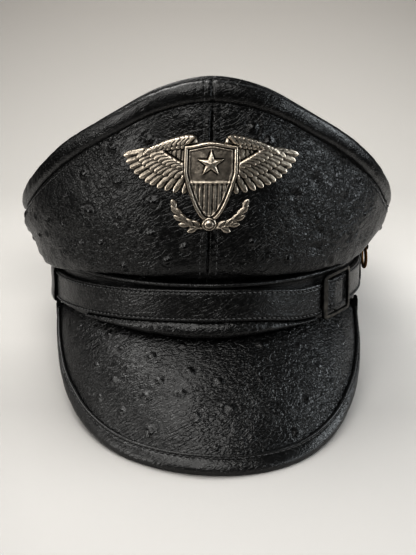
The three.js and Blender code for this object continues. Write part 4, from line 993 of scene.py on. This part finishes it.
def make_buckle():
    inside = STRAP_WIDE / 2 + BUCKLE_SLACK
    per_degree = DEG * BAND_HALF_LENGTH * 0.93
    # corners of the frame's middle line, as angle and height from the strap's middle
    front = BUCKLE_MIDDLE - BUCKLE_SPAN / 2 + BUCKLE_BAR / 2
    rear = BUCKLE_MIDDLE + BUCKLE_SPAN / 2 - BUCKLE_REAR_BAR / 2
    tall = inside + BUCKLE_RAIL / 2
    corners = np.array([(front, -tall), (front, tall), (rear, tall), (rear, -tall)])
    wides = BUCKLE_BAR * per_degree, BUCKLE_RAIL, BUCKLE_REAR_BAR * per_degree, BUCKLE_RAIL
    corner_round, side_rings = 0.9, 14
    path = []
    for a, b in zip(corners, np.roll(corners, -1, 0)):
        cut = corner_round / np.hypot(*((b - a) * (per_degree, 1)))
        path.append(a + (b - a) * np.linspace(cut, 1 - cut, side_rings)[:, None])
    path = np.concatenate(path)
    half_wide = np.pad(np.repeat(wides, side_rings) / 2, 1, mode="wrap")
    half_wide = np.convolve(half_wide, [0.25, 0.5, 0.25], mode="valid")
    points = place(path[:, 0], OVER_STRAP + BUCKLE_THICK / 2, strap_up(path[:, 0]) + path[:, 1])
    outward = outward_at(path[:, 0])
    side = unit(np.cross(outward, np.roll(points, -1, 0) - np.roll(points, 1, 0)))
    across, deep = squared_turn(24, ROD_SQUARED)
    rings = points[:, None] + side[:, None] * across[:, None] * half_wide[:, None, None]
    rings = rings + outward[:, None] * deep[:, None] * BUCKLE_THICK / 2
    frame_obj = make_tube("buckle_frame", rings, black_metal, loop_u=True)
    # the middle bar, whose ends bend out to the frame
    bar_end, bend = inside + 0.6, 2.2
    rise = np.linspace(-bar_end, bar_end, 12)[:, None]
    lift = np.interp(np.abs(rise), [bar_end - bend, bar_end], [0, OVER_STRAP - 0.6])
    across, deep = squared_turn(16, 1)
    out = FIT_GAP + MID_BAR_THICK / 2 * (1 + deep) + lift
    angles = BUCKLE_MIDDLE + BUCKLE_MID_BAR / 2 * across
    bar = place(angles, out, strap_up(BUCKLE_MIDDLE) + rise)
    bar_obj = make_tube("buckle_bar", bar, black_metal)
    finish_piece(frame_obj, "black_metal", "buckle")
    finish_piece(bar_obj, "black_metal")


# Ring and tab

RING_OUT = OVER_STRAP + LOOP_THICK + RING_CLEAR + RING_WIRE
TAB_HOLE_UP = BAND_HEIGHT - TAB_DROP


def at_left_loop(local):
    """From (aside, out, up) beside the left loop to as-worn places."""
    outward = outward_at(LEFT_LOOP_ANGLE)
    aside = (-outward[1], outward[0], 0)
    return place(LEFT_LOOP_ANGLE, 0.0, 0.0) + local @ np.array([aside, outward, (0, 0, 1)])


def make_ring():
    turn_x, turn_y = (turn[:, None] for turn in squared_turn(72, 1))
    wire_x, wire_y = squared_turn(16, 1)
    r = RING_RADIUS + RING_WIRE * wire_x
    out = RING_OUT + RING_WIRE * wire_y + 0 * turn_x
    local = np.stack([r * turn_x, out, TAB_HOLE_UP - RING_RADIUS + r * turn_y], axis=-1)
    obj = make_tube("ring_brass", at_left_loop(local), brass, loop_u=True)
    finish_piece(obj, "old_brass", "side_ring")


def make_tab():
    arm_out, arm_up = BAND_BEAD + FIT_GAP, BAND_HEIGHT - TAB_INSET

    def arc(radius, start, end, count):
        turn = np.linspace(start, end, count) * math.pi
        return np.stack([RING_OUT + radius * np.cos(turn), TAB_HOLE_UP + radius * np.sin(turn)], 1)

    # a band of leather from the arm's foot round the hole and back
    hole = RING_WIRE + TAB_HOLE_CLEAR
    open_from, open_to = 0.84, 2.42  # half turns
    inner = arc(hole, open_from, open_to, 40)
    lobe = arc(hole + TAB_RIM, open_from, open_to, 40)
    outer = np.concatenate([[[arm_out, arm_up - TAB_ARM]], lobe, [[arm_out, arm_up]]])
    root = [[arm_out, arm_up - TAB_ARM / 2]]
    middle = (outer + np.concatenate([root, inner, root])) / 2
    hole_line = np.concatenate([inner, arc(hole, open_to, open_from + 2, 10)[1:-1]])
    half, edge, shrink = TAB_WIDE / 2, 0.25, 0.25
    rings = []
    for aside, share in ((-half, shrink), (edge - half, 0), (half - edge, 0), (half, shrink)):
        flat = np.concatenate([outer + (middle - outer) * share, hole_line])
        rings.append(np.insert(flat, 0, aside, axis=1))
    rim, per = len(outer), len(outer) + len(hole_line)
    k = np.arange(per)
    k2 = np.concatenate([np.roll(k[:rim], -1), np.roll(k[rim:], -1)])
    a, b = np.where(k < rim, (k, k2), (k2, k))
    wall = np.stack([a, b, b + per, a + per], 1)
    walls = np.concatenate([wall + i * per for i in range(len(rings) - 1)])
    flat = [[Vector((o, u, 0)) for _, o, u in part] for part in (rings[0][:rim], rings[0][rim:])]
    end = np.array(tessellate_polygon(flat))
    faces = [walls, end, end[:, ::-1] + (len(rings) - 1) * per]
    world = to_rest(at_left_loop(np.concatenate(rings)))
    obj = make_mesh("tab_leather", world, faces, smooth, smoothed=False)
    finish_piece(obj, "smooth_leather", "ring_tab")


# Peak


def peak_edge_at(u):
    rows = np.array([list(row.values()) for row in PEAK_ROWS])
    rows = np.concatenate([rows[:0:-1] * (-1, 1, 1), rows])
    sizes = PEAK_HALF_WIDTH, -PEAK_REACH, -(PEAK_DROP + BAND_SOLE)
    edge = through_points(rows * sizes + (0, -PEAK_START, BAND_SOLE), (u + 1) / 2)
    skew = PEAK_SKEW * np.sin(math.pi * u) * (1 - u * u)
    edge[:, 0] += PEAK_SHIFT * (1 - u**4)
    edge[:, 1] -= skew
    edge[:, 2] -= skew * SKEW_DROP
    return edge


def peak_face(u, v):
    """The peak's upper face (n, m, 3)."""
    angle = u * PEAK_ANGLE
    out = -(BAND_WALL + FIT_GAP)
    bend_up = band_low(angle) - FIT_GAP
    start, end = place(angle, out, bend_up), peak_edge_at(u)
    along = end - start
    sideways = place(angle + 1, out, bend_up) - place(angle - 1, out, bend_up)
    outward = facing_up(unit(np.cross(along, sideways)))
    bow = PEAK_BOW * np.clip(np.linalg.norm(along, axis=1, keepdims=True) / PEAK_DROP, 0, 1)
    control = (start + end) / 2 + outward * bow
    t = np.clip((v - FLANGE_SHARE) / (1 - FLANGE_SHARE), 0, 1)[:, None]
    slope = bezier(start[:, None], control[:, None], end[:, None], t)
    flange = place(angle[:, None], out, bend_up[:, None] + PEAK_FLANGE * (1 - v / FLANGE_SHARE))
    return np.where((v < FLANGE_SHARE)[None, :, None], flange, slope)


def make_peak():
    u = np.linspace(-1, 1, PEAK_STEPS)
    v = np.concatenate([[0, 0.06], np.linspace(FLANGE_SHARE, 1, PEAK_RINGS)])
    base = peak_face(u, v)
    normal = grid_normals(base)
    flip = bool(normal[..., 2].mean() < 0)
    if flip:
        normal = -normal
    strip = np.linalg.norm(base - base[:, -1:], axis=-1)
    clear = smooth_step((strip - BINDING_LIP + 1.5) / 2)
    free = smooth_step((v - FLANGE_SHARE - 0.02) / 0.06)[None] * clear
    sloped = np.s_[:, PEAK_QUILLS_FROM:]
    spots, sizes = spots_on(base[sloped], normal[sloped], PEAK_QUILLS)
    # a more wrinkled stretch at the wearer's left
    angle = (u * PEAK_ANGLE)[:, None]
    wild = smooth_step(1 - np.abs(angle - PEAK_WILD_ANGLE) / PEAK_WILD_WIDE)
    raised = quill_lift(base, spots, sizes, QUILL_HIGH["peak"])
    lift = rough(base, "peak") + wild * rough(base, "peak_wild") + raised
    face = base + normal * (free * lift)[..., None]
    obj = make_shell("peak_leather", face, PEAK_WALL, flip)
    mark(obj, "loose", np.broadcast_to(PEAK_LOOSE * wild, lift.shape))
    mark(obj, "quill", np.clip(raised, 0, 1))
    finish_piece(obj, "ostrich_leather", "peak")


def make_binding():
    ends = BINDING_END_RINGS
    u = np.pad(np.linspace(-1, 1, PEAK_STEPS), ends, mode="edge")
    pair = peak_face(u, np.array([1 - 1 / 6 * (1 - FLANGE_SHARE), 1.0]))
    near = peak_face(u, np.array([0.985, 1.0]))
    sideways = np.gradient(pair[:, 1], axis=0)
    sideways[: ends + 1] = sideways[ends + 2]
    sideways[-ends - 1 :] = sideways[-ends - 3]
    upward = facing_up(unit(np.cross(sideways, near[:, 1] - near[:, 0])))
    # the wall's faces lean with the peak: its normal at both ends of the last strip
    outward = pair[:, 1] - pair[:, 0]
    lip = np.minimum(BINDING_LIP, np.linalg.norm(outward, axis=1) * 0.9)
    outward = unit(outward)
    half, centre = PEAK_WALL / 2 + BINDING_GAP + BINDING_WALL, -PEAK_WALL / 2
    top, low = centre + half, centre - half
    top_in, low_in = top - BINDING_WALL, low + BINDING_WALL
    columns = [
        (-lip - 0.25, top - 0.75), (-lip, top + BINDING_BEAD - 0.35),
        (-lip + 0.9, top + BINDING_BEAD - 0.15), (-lip + BINDING_STITCH_IN, top - 0.42),
        (-lip + 2.6, top - 0.05), (-lip / 2, top + BINDING_PLUMP * 0.5),
        (-0.2, top + BINDING_PLUMP),
        (BINDING_NOSE * 0.62, centre + half * 0.84), (BINDING_NOSE * 0.97, centre + half * 0.36),
        (BINDING_NOSE * 0.97, centre - half * 0.36), (BINDING_NOSE * 0.62, centre - half * 0.84),
        (-0.2, low - BINDING_PLUMP), (-lip / 2, low - BINDING_PLUMP * 0.5), (-lip, low),
        (-lip, low_in), (-lip / 2, low_in), (BINDING_GAP, low_in),
        (BINDING_GAP, top_in), (-lip / 2, top_in), (-lip - 0.2, top_in),
    ]
    section = round_outline(section_corners(columns, len(u)), 64)
    rings = pair[:, 1:] + section[..., :1] * outward[:, None] + section[..., 1:] * upward[:, None]
    share = np.clip((np.arange(len(u)) - (len(u) - 1 - ends)) / ends, 0, 1)
    rings[..., 2] += (BINDING_LEFT_RISE * share + BINDING_RIGHT_RISE * share[::-1])[:, None]
    lift = rough(rings, "binding") * (section[..., 0] > -lip[:, None] + 1)
    obj = make_tube("peak_binding_leather", rings + from_middles(rings) * lift[..., None], smooth)
    finish_piece(obj, "smooth_leather", "peak_binding")
    trim = slice(14, -14)
    path = pair[:, 1] + (-lip + BINDING_STITCH_IN)[:, None] * outward + (top - 0.3) * upward
    make_stitches("binding_stitch", path[trim], upward[trim], "binding")


def make_welt():
    end = BUCKLE_MIDDLE - BUCKLE_SPAN / 2 - WELT_BUCKLE_GAP
    angle = np.linspace(-WELT_RIGHT_END, end, 220)
    low = band_low(angle) + FIT_GAP
    tall = np.minimum(strap_up(angle) - STRAP_WIDE / 2 - FIT_GAP - low, WELT_TALL)
    columns = [(FIT_GAP + WELT_THICK * row["out"], low + tall * row["up"]) for row in WELT_ROWS]
    rings, _ = sweep(angle, columns, 28)
    rings = rings + from_middles(rings) * rough(rings, "welt")[..., None]
    obj = make_tube("band_welt_leather", rings, smooth)
    finish_piece(obj, "smooth_leather", "band_welt")


# Badge: relief over a sheet of (x to the wearer's left, y up), bent to the crown

BADGE_STEP, BADGE_HALF_WIDE, BADGE_UP_TO, BADGE_DOWN_TO = 0.26, 45.0, 26.0, -27.0
WING_REACH, WING_TALL, SPRAY_REACH, SPRAY_DROP = 43.0, 23.0, 17.0, 24.0
SHIELD_WIDE, SHIELD_TOP, SHIELD_DROP, SHIELD_RIM, SHIELD_HIGH = 27.0, 20.0, 20.0, 1.8, 3.2
STAR_OUT, STAR_IN, STAR_SIZE, BOSS = 7.4, 2.9, 0.93, 3.7
CURVE_POINTS, FAR = 40, 1e9
LINE_REACH = 7  # no line's form reaches farther than this
WING_CURVES = {
    "roots": ((0.58, 0.7), (0.4, 0.48), (0.19, 0.26)),
    "tips": ((1.0, 0.52), (0.84, -0.17), (0.31, -0.26)),
    "shoulder": ((0.19, 1.0), (0.47, 0.93), (0.72, 0.65)),
    "second": ((0.84, 0.5), (0.7, 0.14), (0.33, 0.08)),
    "third": ((0.72, 0.6), (0.58, 0.36), (0.32, 0.3)),
}
STEM_CURVE = ((0.12, -0.96), (0.7, -1.0), (1.0, -0.54))
FEATHER_ROWS = table(
    "end count wide high base",
    ("tips", 11, 4.0, 1.4, 0.5), ("second", 11, 3.5, 1.1, 1.4), ("third", 9, 3.1, 1.0, 2.1),
)
SHOULDER_ROWS = table("count long wide base", (10, 1.35, 2.7, 2.0), (11, 0.8, 2.3, 2.7))


def curve_points(rows, x_size, y_size):
    corners = (np.array([x * x_size, y * y_size]) for x, y in rows)
    return bezier(*corners, np.linspace(0, 1, CURVE_POINTS)[:, None])


def point_at(curve, share):
    return curve[int(round(share * (CURVE_POINTS - 1)))]


class Relief:
    """A height sheet to which cast forms are added, the highest winning."""

    def __init__(self):
        xs = np.arange(-BADGE_HALF_WIDE, BADGE_HALF_WIDE + BADGE_STEP / 2, BADGE_STEP)
        ys = np.arange(BADGE_DOWN_TO, BADGE_UP_TO + BADGE_STEP / 2, BADGE_STEP)
        self.x, self.y = np.meshgrid(xs, ys, indexing="ij")
        self.height = np.zeros(self.x.shape)

    def add(self, where, height):
        self.height = np.maximum(self.height, np.where(where, height, 0))

    def along(self, line):
        """For the whole sheet: share along a line, signed distance beside it, distance, length."""
        ways = np.diff(line, axis=0)
        steps = np.linalg.norm(ways, axis=1)
        arc = np.concatenate([[0], np.cumsum(steps)])
        low, high = line.min(0) - LINE_REACH, line.max(0) + LINE_REACH
        near = (self.x > low[0]) & (self.x < high[0]) & (self.y > low[1]) & (self.y < high[1])
        px, py = self.x[near], self.y[near]
        share, side, best = 0 * px, 0 * px, 0 * px + FAR
        for a, d, long, start in zip(line, ways, steps, arc):
            dx, dy = px - a[0], py - a[1]
            t_raw = (dx * d[0] + dy * d[1]) / (long * long)
            t = np.clip(t_raw, 0, 1)
            dist = np.hypot(dx - t * d[0], dy - t * d[1])
            cross = (d[0] * dy - d[1] * dx) / long
            beside = np.where(t == t_raw, cross, np.sign(cross) * dist)
            closer = dist < best
            for old, new in ((share, (start + t * long) / arc[-1]), (side, beside), (best, dist)):
                old[closer] = new[closer]
        sheets = np.zeros((3, *self.x.shape))
        sheets[2] = FAR
        sheets[:, near] = share, side, best
        return (*sheets, arc[-1])

    def feather(self, line, wide, high, base, barbs, flip):
        """A long feather: rounded vane, a raised quill and fine barbs that sweep off it."""
        share, side, dist, long = self.along(line)
        half = wide / 2 * np.clip(np.minimum(0.55 + share * 2.2, 1), 0, 1)
        tip = np.clip((1 - share) / (wide * 0.8 / long), 0, 1)
        half = half * np.sqrt(1 - (1 - tip) ** 2 + 1e-9)
        s = np.clip(side / np.maximum(half, 1e-6), -1, 1)
        vane = np.sqrt(np.maximum(1 - np.abs(s) ** 2.6, 0))
        quill = 0.34 * hill(side, 0, 0.34) * (1 - share) ** 0.3
        phase = share * long * 2.1 - np.abs(side) * 2.4
        comb = 0.11 * np.sin(phase * 2 * math.pi / 1.9) * np.clip(1.2 - np.abs(s), 0, 1)
        split = -0.3 * hill((share - 0.55 - 0.12 * np.sign(s)) * long, 0, 0.5) * (np.abs(s) > 0.45)
        height = base + high * (0.1 + 0.9 * vane) + 0.28 * s * flip + quill + (comb + split) * barbs
        self.add((dist < half) & (share > 0.001), height)


def polygon_depth(x, y, corners):
    """How deep inside a convex or star-shaped outline each point lies: positive within."""
    corners = np.asarray(corners, float)
    inside = np.zeros(x.shape, bool)
    depth = np.full(x.shape, FAR)
    for (ax, ay), (bx, by) in zip(corners, np.roll(corners, -1, 0)):
        dx, dy = bx - ax, by - ay
        with np.errstate(divide="ignore", invalid="ignore"):
            at = dx * (y - ay) / dy + ax
        inside ^= ((ay > y) != (by > y)) & (x < at)
        t = np.clip(((x - ax) * dx + (y - ay) * dy) / (dx * dx + dy * dy), 0, 1)
        depth = np.minimum(depth, np.hypot(x - ax - t * dx, y - ay - t * dy))
    return np.where(inside, depth, -depth)


def dome(distance, radius):
    return np.sqrt(np.maximum(1 - (distance / radius) ** 2, 0))


def wing_on(relief, side):
    lines = {k: curve_points(rows, side * WING_REACH, WING_TALL) for k, rows in WING_CURVES.items()}
    shoulder, steps = lines["shoulder"], np.linspace(0, 1, 14)[:, None]
    for row, kind in enumerate(FEATHER_ROWS):
        for i in range(kind["count"]):
            t = i / (kind["count"] - 1)
            root, tip = point_at(lines["roots"], t), point_at(lines[kind["end"]], t)
            line = bezier(root, (root + tip) / 2 + (0, 1.2 + 0.4 * row), tip, steps)
            base = kind["base"] + 0.34 * (1 - t) + 0.05 * (i % 2)
            wide = kind["wide"] * (1 - 0.18 * t)
            relief.feather(line, wide, kind["high"], base, 1.0 - 0.2 * row, side)
    for i in range(8):
        t = i / 7
        end = lines["roots"][CURVE_POINTS - 1 - int(t * (CURVE_POINTS - 1))]
        line = np.linspace(shoulder[int(t * 26)], end, 14)
        relief.feather(line, 3.4, 1.0, 0.9 + 0.3 * (1 - t), 0.8, side)
    share, _, dist, _ = relief.along(shoulder)
    half = 1.9 * np.clip(np.minimum(share * 6 + 0.35, (1 - share) * 2.2 + 0.2), 0, 1)
    relief.add(dist < half, 1.9 + 1.9 * dome(dist, half))
    # small overlapping feathers along the shoulder
    for row, kind in enumerate(SHOULDER_ROWS):
        for i in range(kind["count"]):
            t = 0.03 + i * 0.93 / (kind["count"] - 1)
            root = point_at(shoulder, t) + (0, 1.2 - 0.4 * row)
            reach = np.array([side * (4.4 - 0.8 * t), -3.9 - 1.3 * (1 - t)]) * kind["long"]
            line = root + reach * np.linspace(0, 1, 8)[:, None]
            relief.feather(line, kind["wide"], 0.9, kind["base"] + 0.25 * (1 - t), 0.7, side)


def spray_on(relief, side):
    stem = curve_points(STEM_CURVE, side * SPRAY_REACH, SPRAY_DROP)
    thick = 1.6
    _, _, dist, _ = relief.along(stem)
    relief.add(dist < thick / 2, 0.5 + 1.2 * (0.35 + 0.65 * dome(dist, thick / 2)))
    for i in range(9):
        at = 0.1 + i * 0.108
        k = int(round(at * (CURVE_POINTS - 1)))
        along = unit(stem[min(CURVE_POINTS - 1, k + 1)] - stem[k - 1])
        turn = (1 if i % 2 == 0 else -1) * side * 0.75 * (1.05 - at)
        c, s = math.cos(turn), math.sin(turn)
        way = np.array([along[0] * c - along[1] * s, along[0] * s + along[1] * c])
        share, aside, dist, _ = relief.along(stem[k] + way * np.linspace(0, 5.6, 8)[:, None])
        half = 1.75 * np.sin(math.pi * np.clip(share * 0.94 + 0.05, 0, 1)) ** 0.7
        leaf = 1.0 + 0.9 * (1 - np.abs(aside) / np.maximum(half, 1e-6)) + 0.12 * (i % 2)
        inside = (dist < half) & (share > 0.001) & (share < 0.999)
        relief.add(inside, leaf - 0.3 * hill(aside, 0, 0.22))


def shield_on(relief):
    x, y = relief.x, relief.y
    t = np.linspace(-1, 1, 61)
    across = t * SHIELD_WIDE / 2
    foot = (SHIELD_TOP + SHIELD_DROP) * 0.62 * np.abs(t) ** 2.2 - SHIELD_DROP
    high = np.stack([across, SHIELD_TOP + np.cos(t * math.pi)], 1)
    depth = polygon_depth(x, y, np.concatenate([high, np.stack([across, foot], 1)[::-1]]))
    rim = SHIELD_HIGH * dome(1 - np.clip(depth / 0.9, 0, 1), 1)
    inner = np.clip((depth - SHIELD_RIM) / 0.5, 0, 1)
    field = SHIELD_HIGH - 1.1 + 0.5 * hill(x, 0, 9) * hill(y, 3, 12)
    pleats = 0.22 * np.cos(x * 2 * math.pi / 2.3) * (y < 0) * np.clip((depth - 2.4) / 0.8, 0, 1)
    height = rim * (1 - inner) + inner * (field + pleats + 0.35 * hill(depth, 3.1, 0.3))
    # a bar across, above the pleats
    height = height + 0.55 * np.exp(-(((y - 0.2) / 0.75) ** 4)) * inner
    relief.height = np.where(depth > 0, np.maximum(height, 0.3), relief.height)
    star_up = SHIELD_TOP / 2 - 0.2
    turns = np.arange(10) * math.pi / 5
    radii = np.tile([STAR_OUT, STAR_IN], 5) * STAR_SIZE
    corners = np.stack([radii * np.sin(turns), star_up + radii * np.cos(turns)], 1)
    ridge = np.abs((np.arctan2(x, y - star_up) / (math.pi / 5) + 1) % 2 - 1)
    radius = np.hypot(x, y - star_up)
    star = 1.9 * (1 - radius / STAR_OUT) + 0.35 * (1 - 2 * ridge) * np.clip(radius / 3, 0, 1)
    inside = polygon_depth(x, y, corners) > 0
    relief.height = np.where(inside, SHIELD_HIGH - 0.4 + np.maximum(star, 0), relief.height)
    # boss over the crossed stems
    r = np.hypot(x, y + SHIELD_DROP + 1.0)
    boss = 1.6 + 2.1 * dome(r, BOSS) - 0.5 * hill(r, 2.4, 0.3)
    relief.height = np.where(r < BOSS, boss, relief.height)


def blur(sheet, times):
    for _ in range(times):
        around = sum(np.roll(sheet, step, axis) for axis in (0, 1) for step in (1, -1))
        sheet = (4 * sheet + around) / 8
    return sheet


def place_on_badge(x, y, h):
    """On the crown's face, a gap and a height above it."""
    up = CROWN_FRONT - BADGE_BELOW_CREST + y
    angle = np.arcsin(x / (BAND_HALF_WIDTH + rim_out(0.0))) / DEG
    profile = through_points(crown_corners(angle), np.linspace(0, 0.5, 90))
    out = np.array([np.interp(-u, -line[:, 1], line[:, 0]) for u, line in zip(up, profile)])
    return place_on_crown(angle, out - dent_at(angle, up) + BADGE_GAP + h, up)


def make_badge():
    relief = Relief()
    for side in (1, -1):
        wing_on(relief, side)
        spray_on(relief, side)
    shield_on(relief)
    solid = relief.height > 0
    height = np.where(solid, np.maximum(blur(relief.height, 1), 0.35), 0)
    height = height + rough(np.stack([relief.x, relief.y, 0 * relief.x], -1), "badge") * solid
    wear_and_edge_highlight = np.clip(0.46 + 2.0 * (height - blur(relief.height, 10)) + 0.06 * (height - 2), 0, 1)
    # soften the stepped outline by pulling its points to the mean of their neighbours
    within = [np.roll(solid, step, axis) for axis in (0, 1) for step in (1, -1)]
    edge = solid & ~np.logical_and.reduce(within)
    x, y = relief.x, relief.y
    for _ in range(4):
        sums = np.zeros((3, *solid.shape))
        for shift in np.ndindex(3, 3):
            shift = tuple(k - 1 for k in shift)
            near, near_x, near_y = (np.roll(v, shift, (0, 1)) for v in (edge, x, y))
            sums += near, near * near_x, near * near_y
        count = np.maximum(sums[0], 1)
        x, y = np.where(edge, sums[1] / count, x), np.where(edge, sums[2] / count, y)
    # the front sheet, the back sheet and walls between them
    x, y = x[solid], y[solid]
    front, back = place_on_badge(x, y, height[solid]), place_on_badge(x, y, 0)
    count = len(x)
    index = np.full(solid.shape, -1)
    index[solid] = np.arange(count)
    corners = (index[:-1, :-1], index[1:, :-1], index[1:, 1:], index[:-1, 1:])
    quads = np.stack([corner.ravel() for corner in corners], axis=1)
    quads = quads[(quads >= 0).all(1)]
    sides = np.concatenate([quads[:, [k, (k + 1) % 4]] for k in range(4)])
    keys = set(map(tuple, sides.tolist()))
    border = np.array([(b, a) for a, b in keys if (b, a) not in keys])
    walls = np.concatenate([border, border[:, ::-1] + count], axis=1)
    faces = [quads, walls, quads[:, ::-1] + count]
    a, b, c = (front[quads[:, k]] for k in range(3))
    if np.cross(b - a, c - a)[:, 1].mean() > 0:
        faces = [part[:, ::-1] for part in faces]
    obj = make_mesh("badge_relief", to_rest(np.concatenate([front, back])), faces, pewter)
    mark(obj, "wear_and_edge_highlight", wear_and_edge_highlight[solid])
    finish_piece(obj, "aged_pewter", "badge")


# Stage

FLOOR_MIRRORED = 0.3  # metres from the middle
FLOOR_X, FLOOR_Y, FLOOR_GRID = (-3, 3), (-2.4, 3.4), (60, 90)
# The floor's colour from front to back holds painted light: darker towards the back, a painted
# shade of the lamps' falloff, and lighter where the cap stands, painted light that fills the cap's
# shadows at its sides
FLOOR_STOPS = [
    (0.05, (0.36, 0.35, 0.338)), (0.2, (0.38, 0.37, 0.357)), (0.27, (0.48, 0.468, 0.451)),
    (0.32, (0.48, 0.468, 0.45)), (0.38, (0.4, 0.388, 0.372)), (0.47, (0.325, 0.314, 0.299)),
    (0.85, (0.235, 0.223, 0.208)),
]
# Soft boxes: where they stand round the cap, their size in metres and their power in watts
WARM, COOL, SOFT, PLAIN = (1, 0.985, 0.96), (0.92, 0.97, 1), (1, 0.99, 0.97), (1, 0.99, 0.98)
LAMP_FAR, LAMP_AIM = 1.3, (0, -0.02, 0.08)
LAMP_ROWS = table(
    "name azimuth elevation wide tall power color mirrored",
    ("left_mid", -46, 50, 0.6, 0.6, 3.3, WARM, True),
    ("left_low", -62, 14, 0.6, 0.7, 6.4, WARM, True),
    ("left_side", -100, 12, 0.8, 0.5, 1.9, WARM, True),
    ("high_left", -80, 70, 0.9, 0.9, 5.4, WARM, True),
    ("right_front", 62, 8, 0.4, 0.5, 3, COOL, True),
    ("right_low", 100, 14, 0.6, 0.7, 8, COOL, True),
    ("right_back", 145, 44, 1.0, 0.8, 2.5, COOL, True),
    ("back_left", -145, 50, 1.1, 0.9, 20, SOFT, True),
    ("front", 8, 48, 0.6, 0.3, 2.5, SOFT, True),
    ("front_top", 0, 60, 0.7, 0.3, 2, SOFT, True),
    ("front_low", -14, 32, 0.5, 0.25, 3, SOFT, True),
    ("right_fill", 96, 48, 1.2, 1.2, 12, PLAIN, False),
)
WORLD_COLOR, WORLD_STRENGTH = (0.95, 0.97, 1, 1), 0.5
# The sweep behind the cap: how high it rises, from where, over what length and how bent
SWEEP_HIGH, SWEEP_FROM, SWEEP_LONG, SWEEP_BEND = 1.6, 1.2, 2.2, 1.2
# The floor is painted darker to both sides of a middle, a painted shade, but no darker than a share
DIM_MIDDLE, DIM_STEEP, DIM_LEAST, FLOOR_ROUGH, FLOOR_GLOSS = 0.03, -4.2, 0.7, 0.75, 0.25
VIEW_GAMMA = 0.72  # the photograph's contrast


def make_floor():
    """A pale sweep: flat under the cap and curving up behind it. Its colour holds painted light:
    darker towards the back and to both sides, lighter round the cap.
    """
    lines = (np.linspace(*ends, count) for ends, count in zip((FLOOR_X, FLOOR_Y), FLOOR_GRID))
    gx, gy = np.meshgrid(*lines, indexing="ij")
    rise = SWEEP_HIGH * smooth_step((gy - SWEEP_FROM) / SWEEP_LONG) ** SWEEP_BEND
    verts = np.stack([gx, gy, rise], axis=-1).reshape(-1, 3)
    material, tree, shader = new_material("pale_floor")
    calc = functools.partial(add_math, tree)
    where = add_node(tree, "TexCoord").outputs["Object"]
    split = add_node(tree, "SeparateXYZ", {0: where})
    mottle = add_noise(tree, where, 3.0, 2.0).outputs[0]
    depth = calc("MULTIPLY_ADD", mottle, 0.04, split.outputs["Y"])
    # painted shade towards the back and painted light round the cap, from the stops
    color = add_ramp(tree, calc("ADD", depth, 0.25), FLOOR_STOPS)
    # painted shade to both sides
    aside = calc("SUBTRACT", split.outputs["X"], DIM_MIDDLE)
    dim = calc("MULTIPLY", calc("MULTIPLY", aside, aside), DIM_STEEP)
    shade = calc("MAXIMUM", calc("ADD", dim, 1.0), DIM_LEAST)
    even = add_node(tree, "VectorMath", {0: color, "Scale": shade}, operation="SCALE")
    tree.links.new(even.outputs[0], shader.inputs["Base Color"])
    shader.inputs["Roughness"].default_value = FLOOR_ROUGH
    shader.inputs["Specular IOR Level"].default_value = FLOOR_GLOSS
    faces = grid_faces(*FLOOR_GRID)
    near = (np.abs(verts[faces].mean(1)[:, :2]) < FLOOR_MIRRORED).all(1)
    make_mesh("floor_near", verts, [faces[near]], material)
    far = make_mesh("floor_far", verts, [faces[~near]], material)
    far.visible_glossy = False  # as in the photograph, where the leather mirrors no far floor


def add_looker(name, data, spot, way):
    """A lamp or camera at a spot that looks along a way."""
    obj = bpy.data.objects.new(name, data)
    obj.location = spot
    obj.rotation_mode = "QUATERNION"
    obj.rotation_quaternion = Vector(way).to_track_quat("-Z", "Y")
    bpy.context.scene.collection.objects.link(obj)
    return obj


def make_lights():
    for row in LAMP_ROWS:
        # the azimuth is 0 at the camera's side and positive to the right
        a, e = row["azimuth"] * DEG, row["elevation"] * DEG
        back = Vector((math.sin(a) * math.cos(e), -math.cos(a) * math.cos(e), math.sin(e)))
        light = bpy.data.lights.new(row["name"], "AREA")
        light.shape = "RECTANGLE"
        light.size, light.size_y = row["wide"], row["tall"]
        light.energy, light.color = row["power"], row["color"]
        obj = add_looker(row["name"], light, Vector(LAMP_AIM) + back * LAMP_FAR, -back)
        obj.visible_glossy = row["mirrored"]
    world = bpy.data.worlds.new("studio")
    world.use_nodes = True
    background = world.node_tree.nodes["Background"]
    background.inputs["Color"].default_value = WORLD_COLOR
    background.inputs["Strength"].default_value = WORLD_STRENGTH
    # the leather mirrors the soft boxes only; the world just fills the shadows
    world.cycles_visibility.glossy = False
    bpy.context.scene.world = world


def make_camera():
    eye, forward, upward = camera_axes()
    aim = forward + upward * (AIM_PY - PHOTO_TALL / 2) / PHOTO_FOCAL
    aim = aim + np.array([1.0, 0, 0]) * (PHOTO_WIDE / 2 - AIM_PX) / PHOTO_FOCAL
    spot, far = to_rest(np.array([eye, eye + aim * CAMERA_FAR]), lowest=-math.inf)
    camera = bpy.data.cameras.new("camera")
    camera.sensor_width = SENSOR_WIDE
    camera.lens = PHOTO_FOCAL / PHOTO_TALL * SENSOR_WIDE
    camera.clip_start, camera.clip_end = 0.05, 30
    bpy.context.scene.camera = add_looker("camera", camera, spot, far - spot)


make_camera()
make_lights()
make_floor()
make_band()
make_crown()
make_roll()
make_top()
make_welt()
make_peak()
make_binding()
make_strap()
make_loop("strap_loop_left", LEFT_LOOP_ANGLE)
make_loop("strap_loop_right", RIGHT_LOOP_ANGLE)
make_buckle()
make_ring()
make_tab()
make_badge()

bpy.context.scene.view_settings.view_transform = "Standard"
bpy.context.scene.view_settings.gamma = VIEW_GAMMA
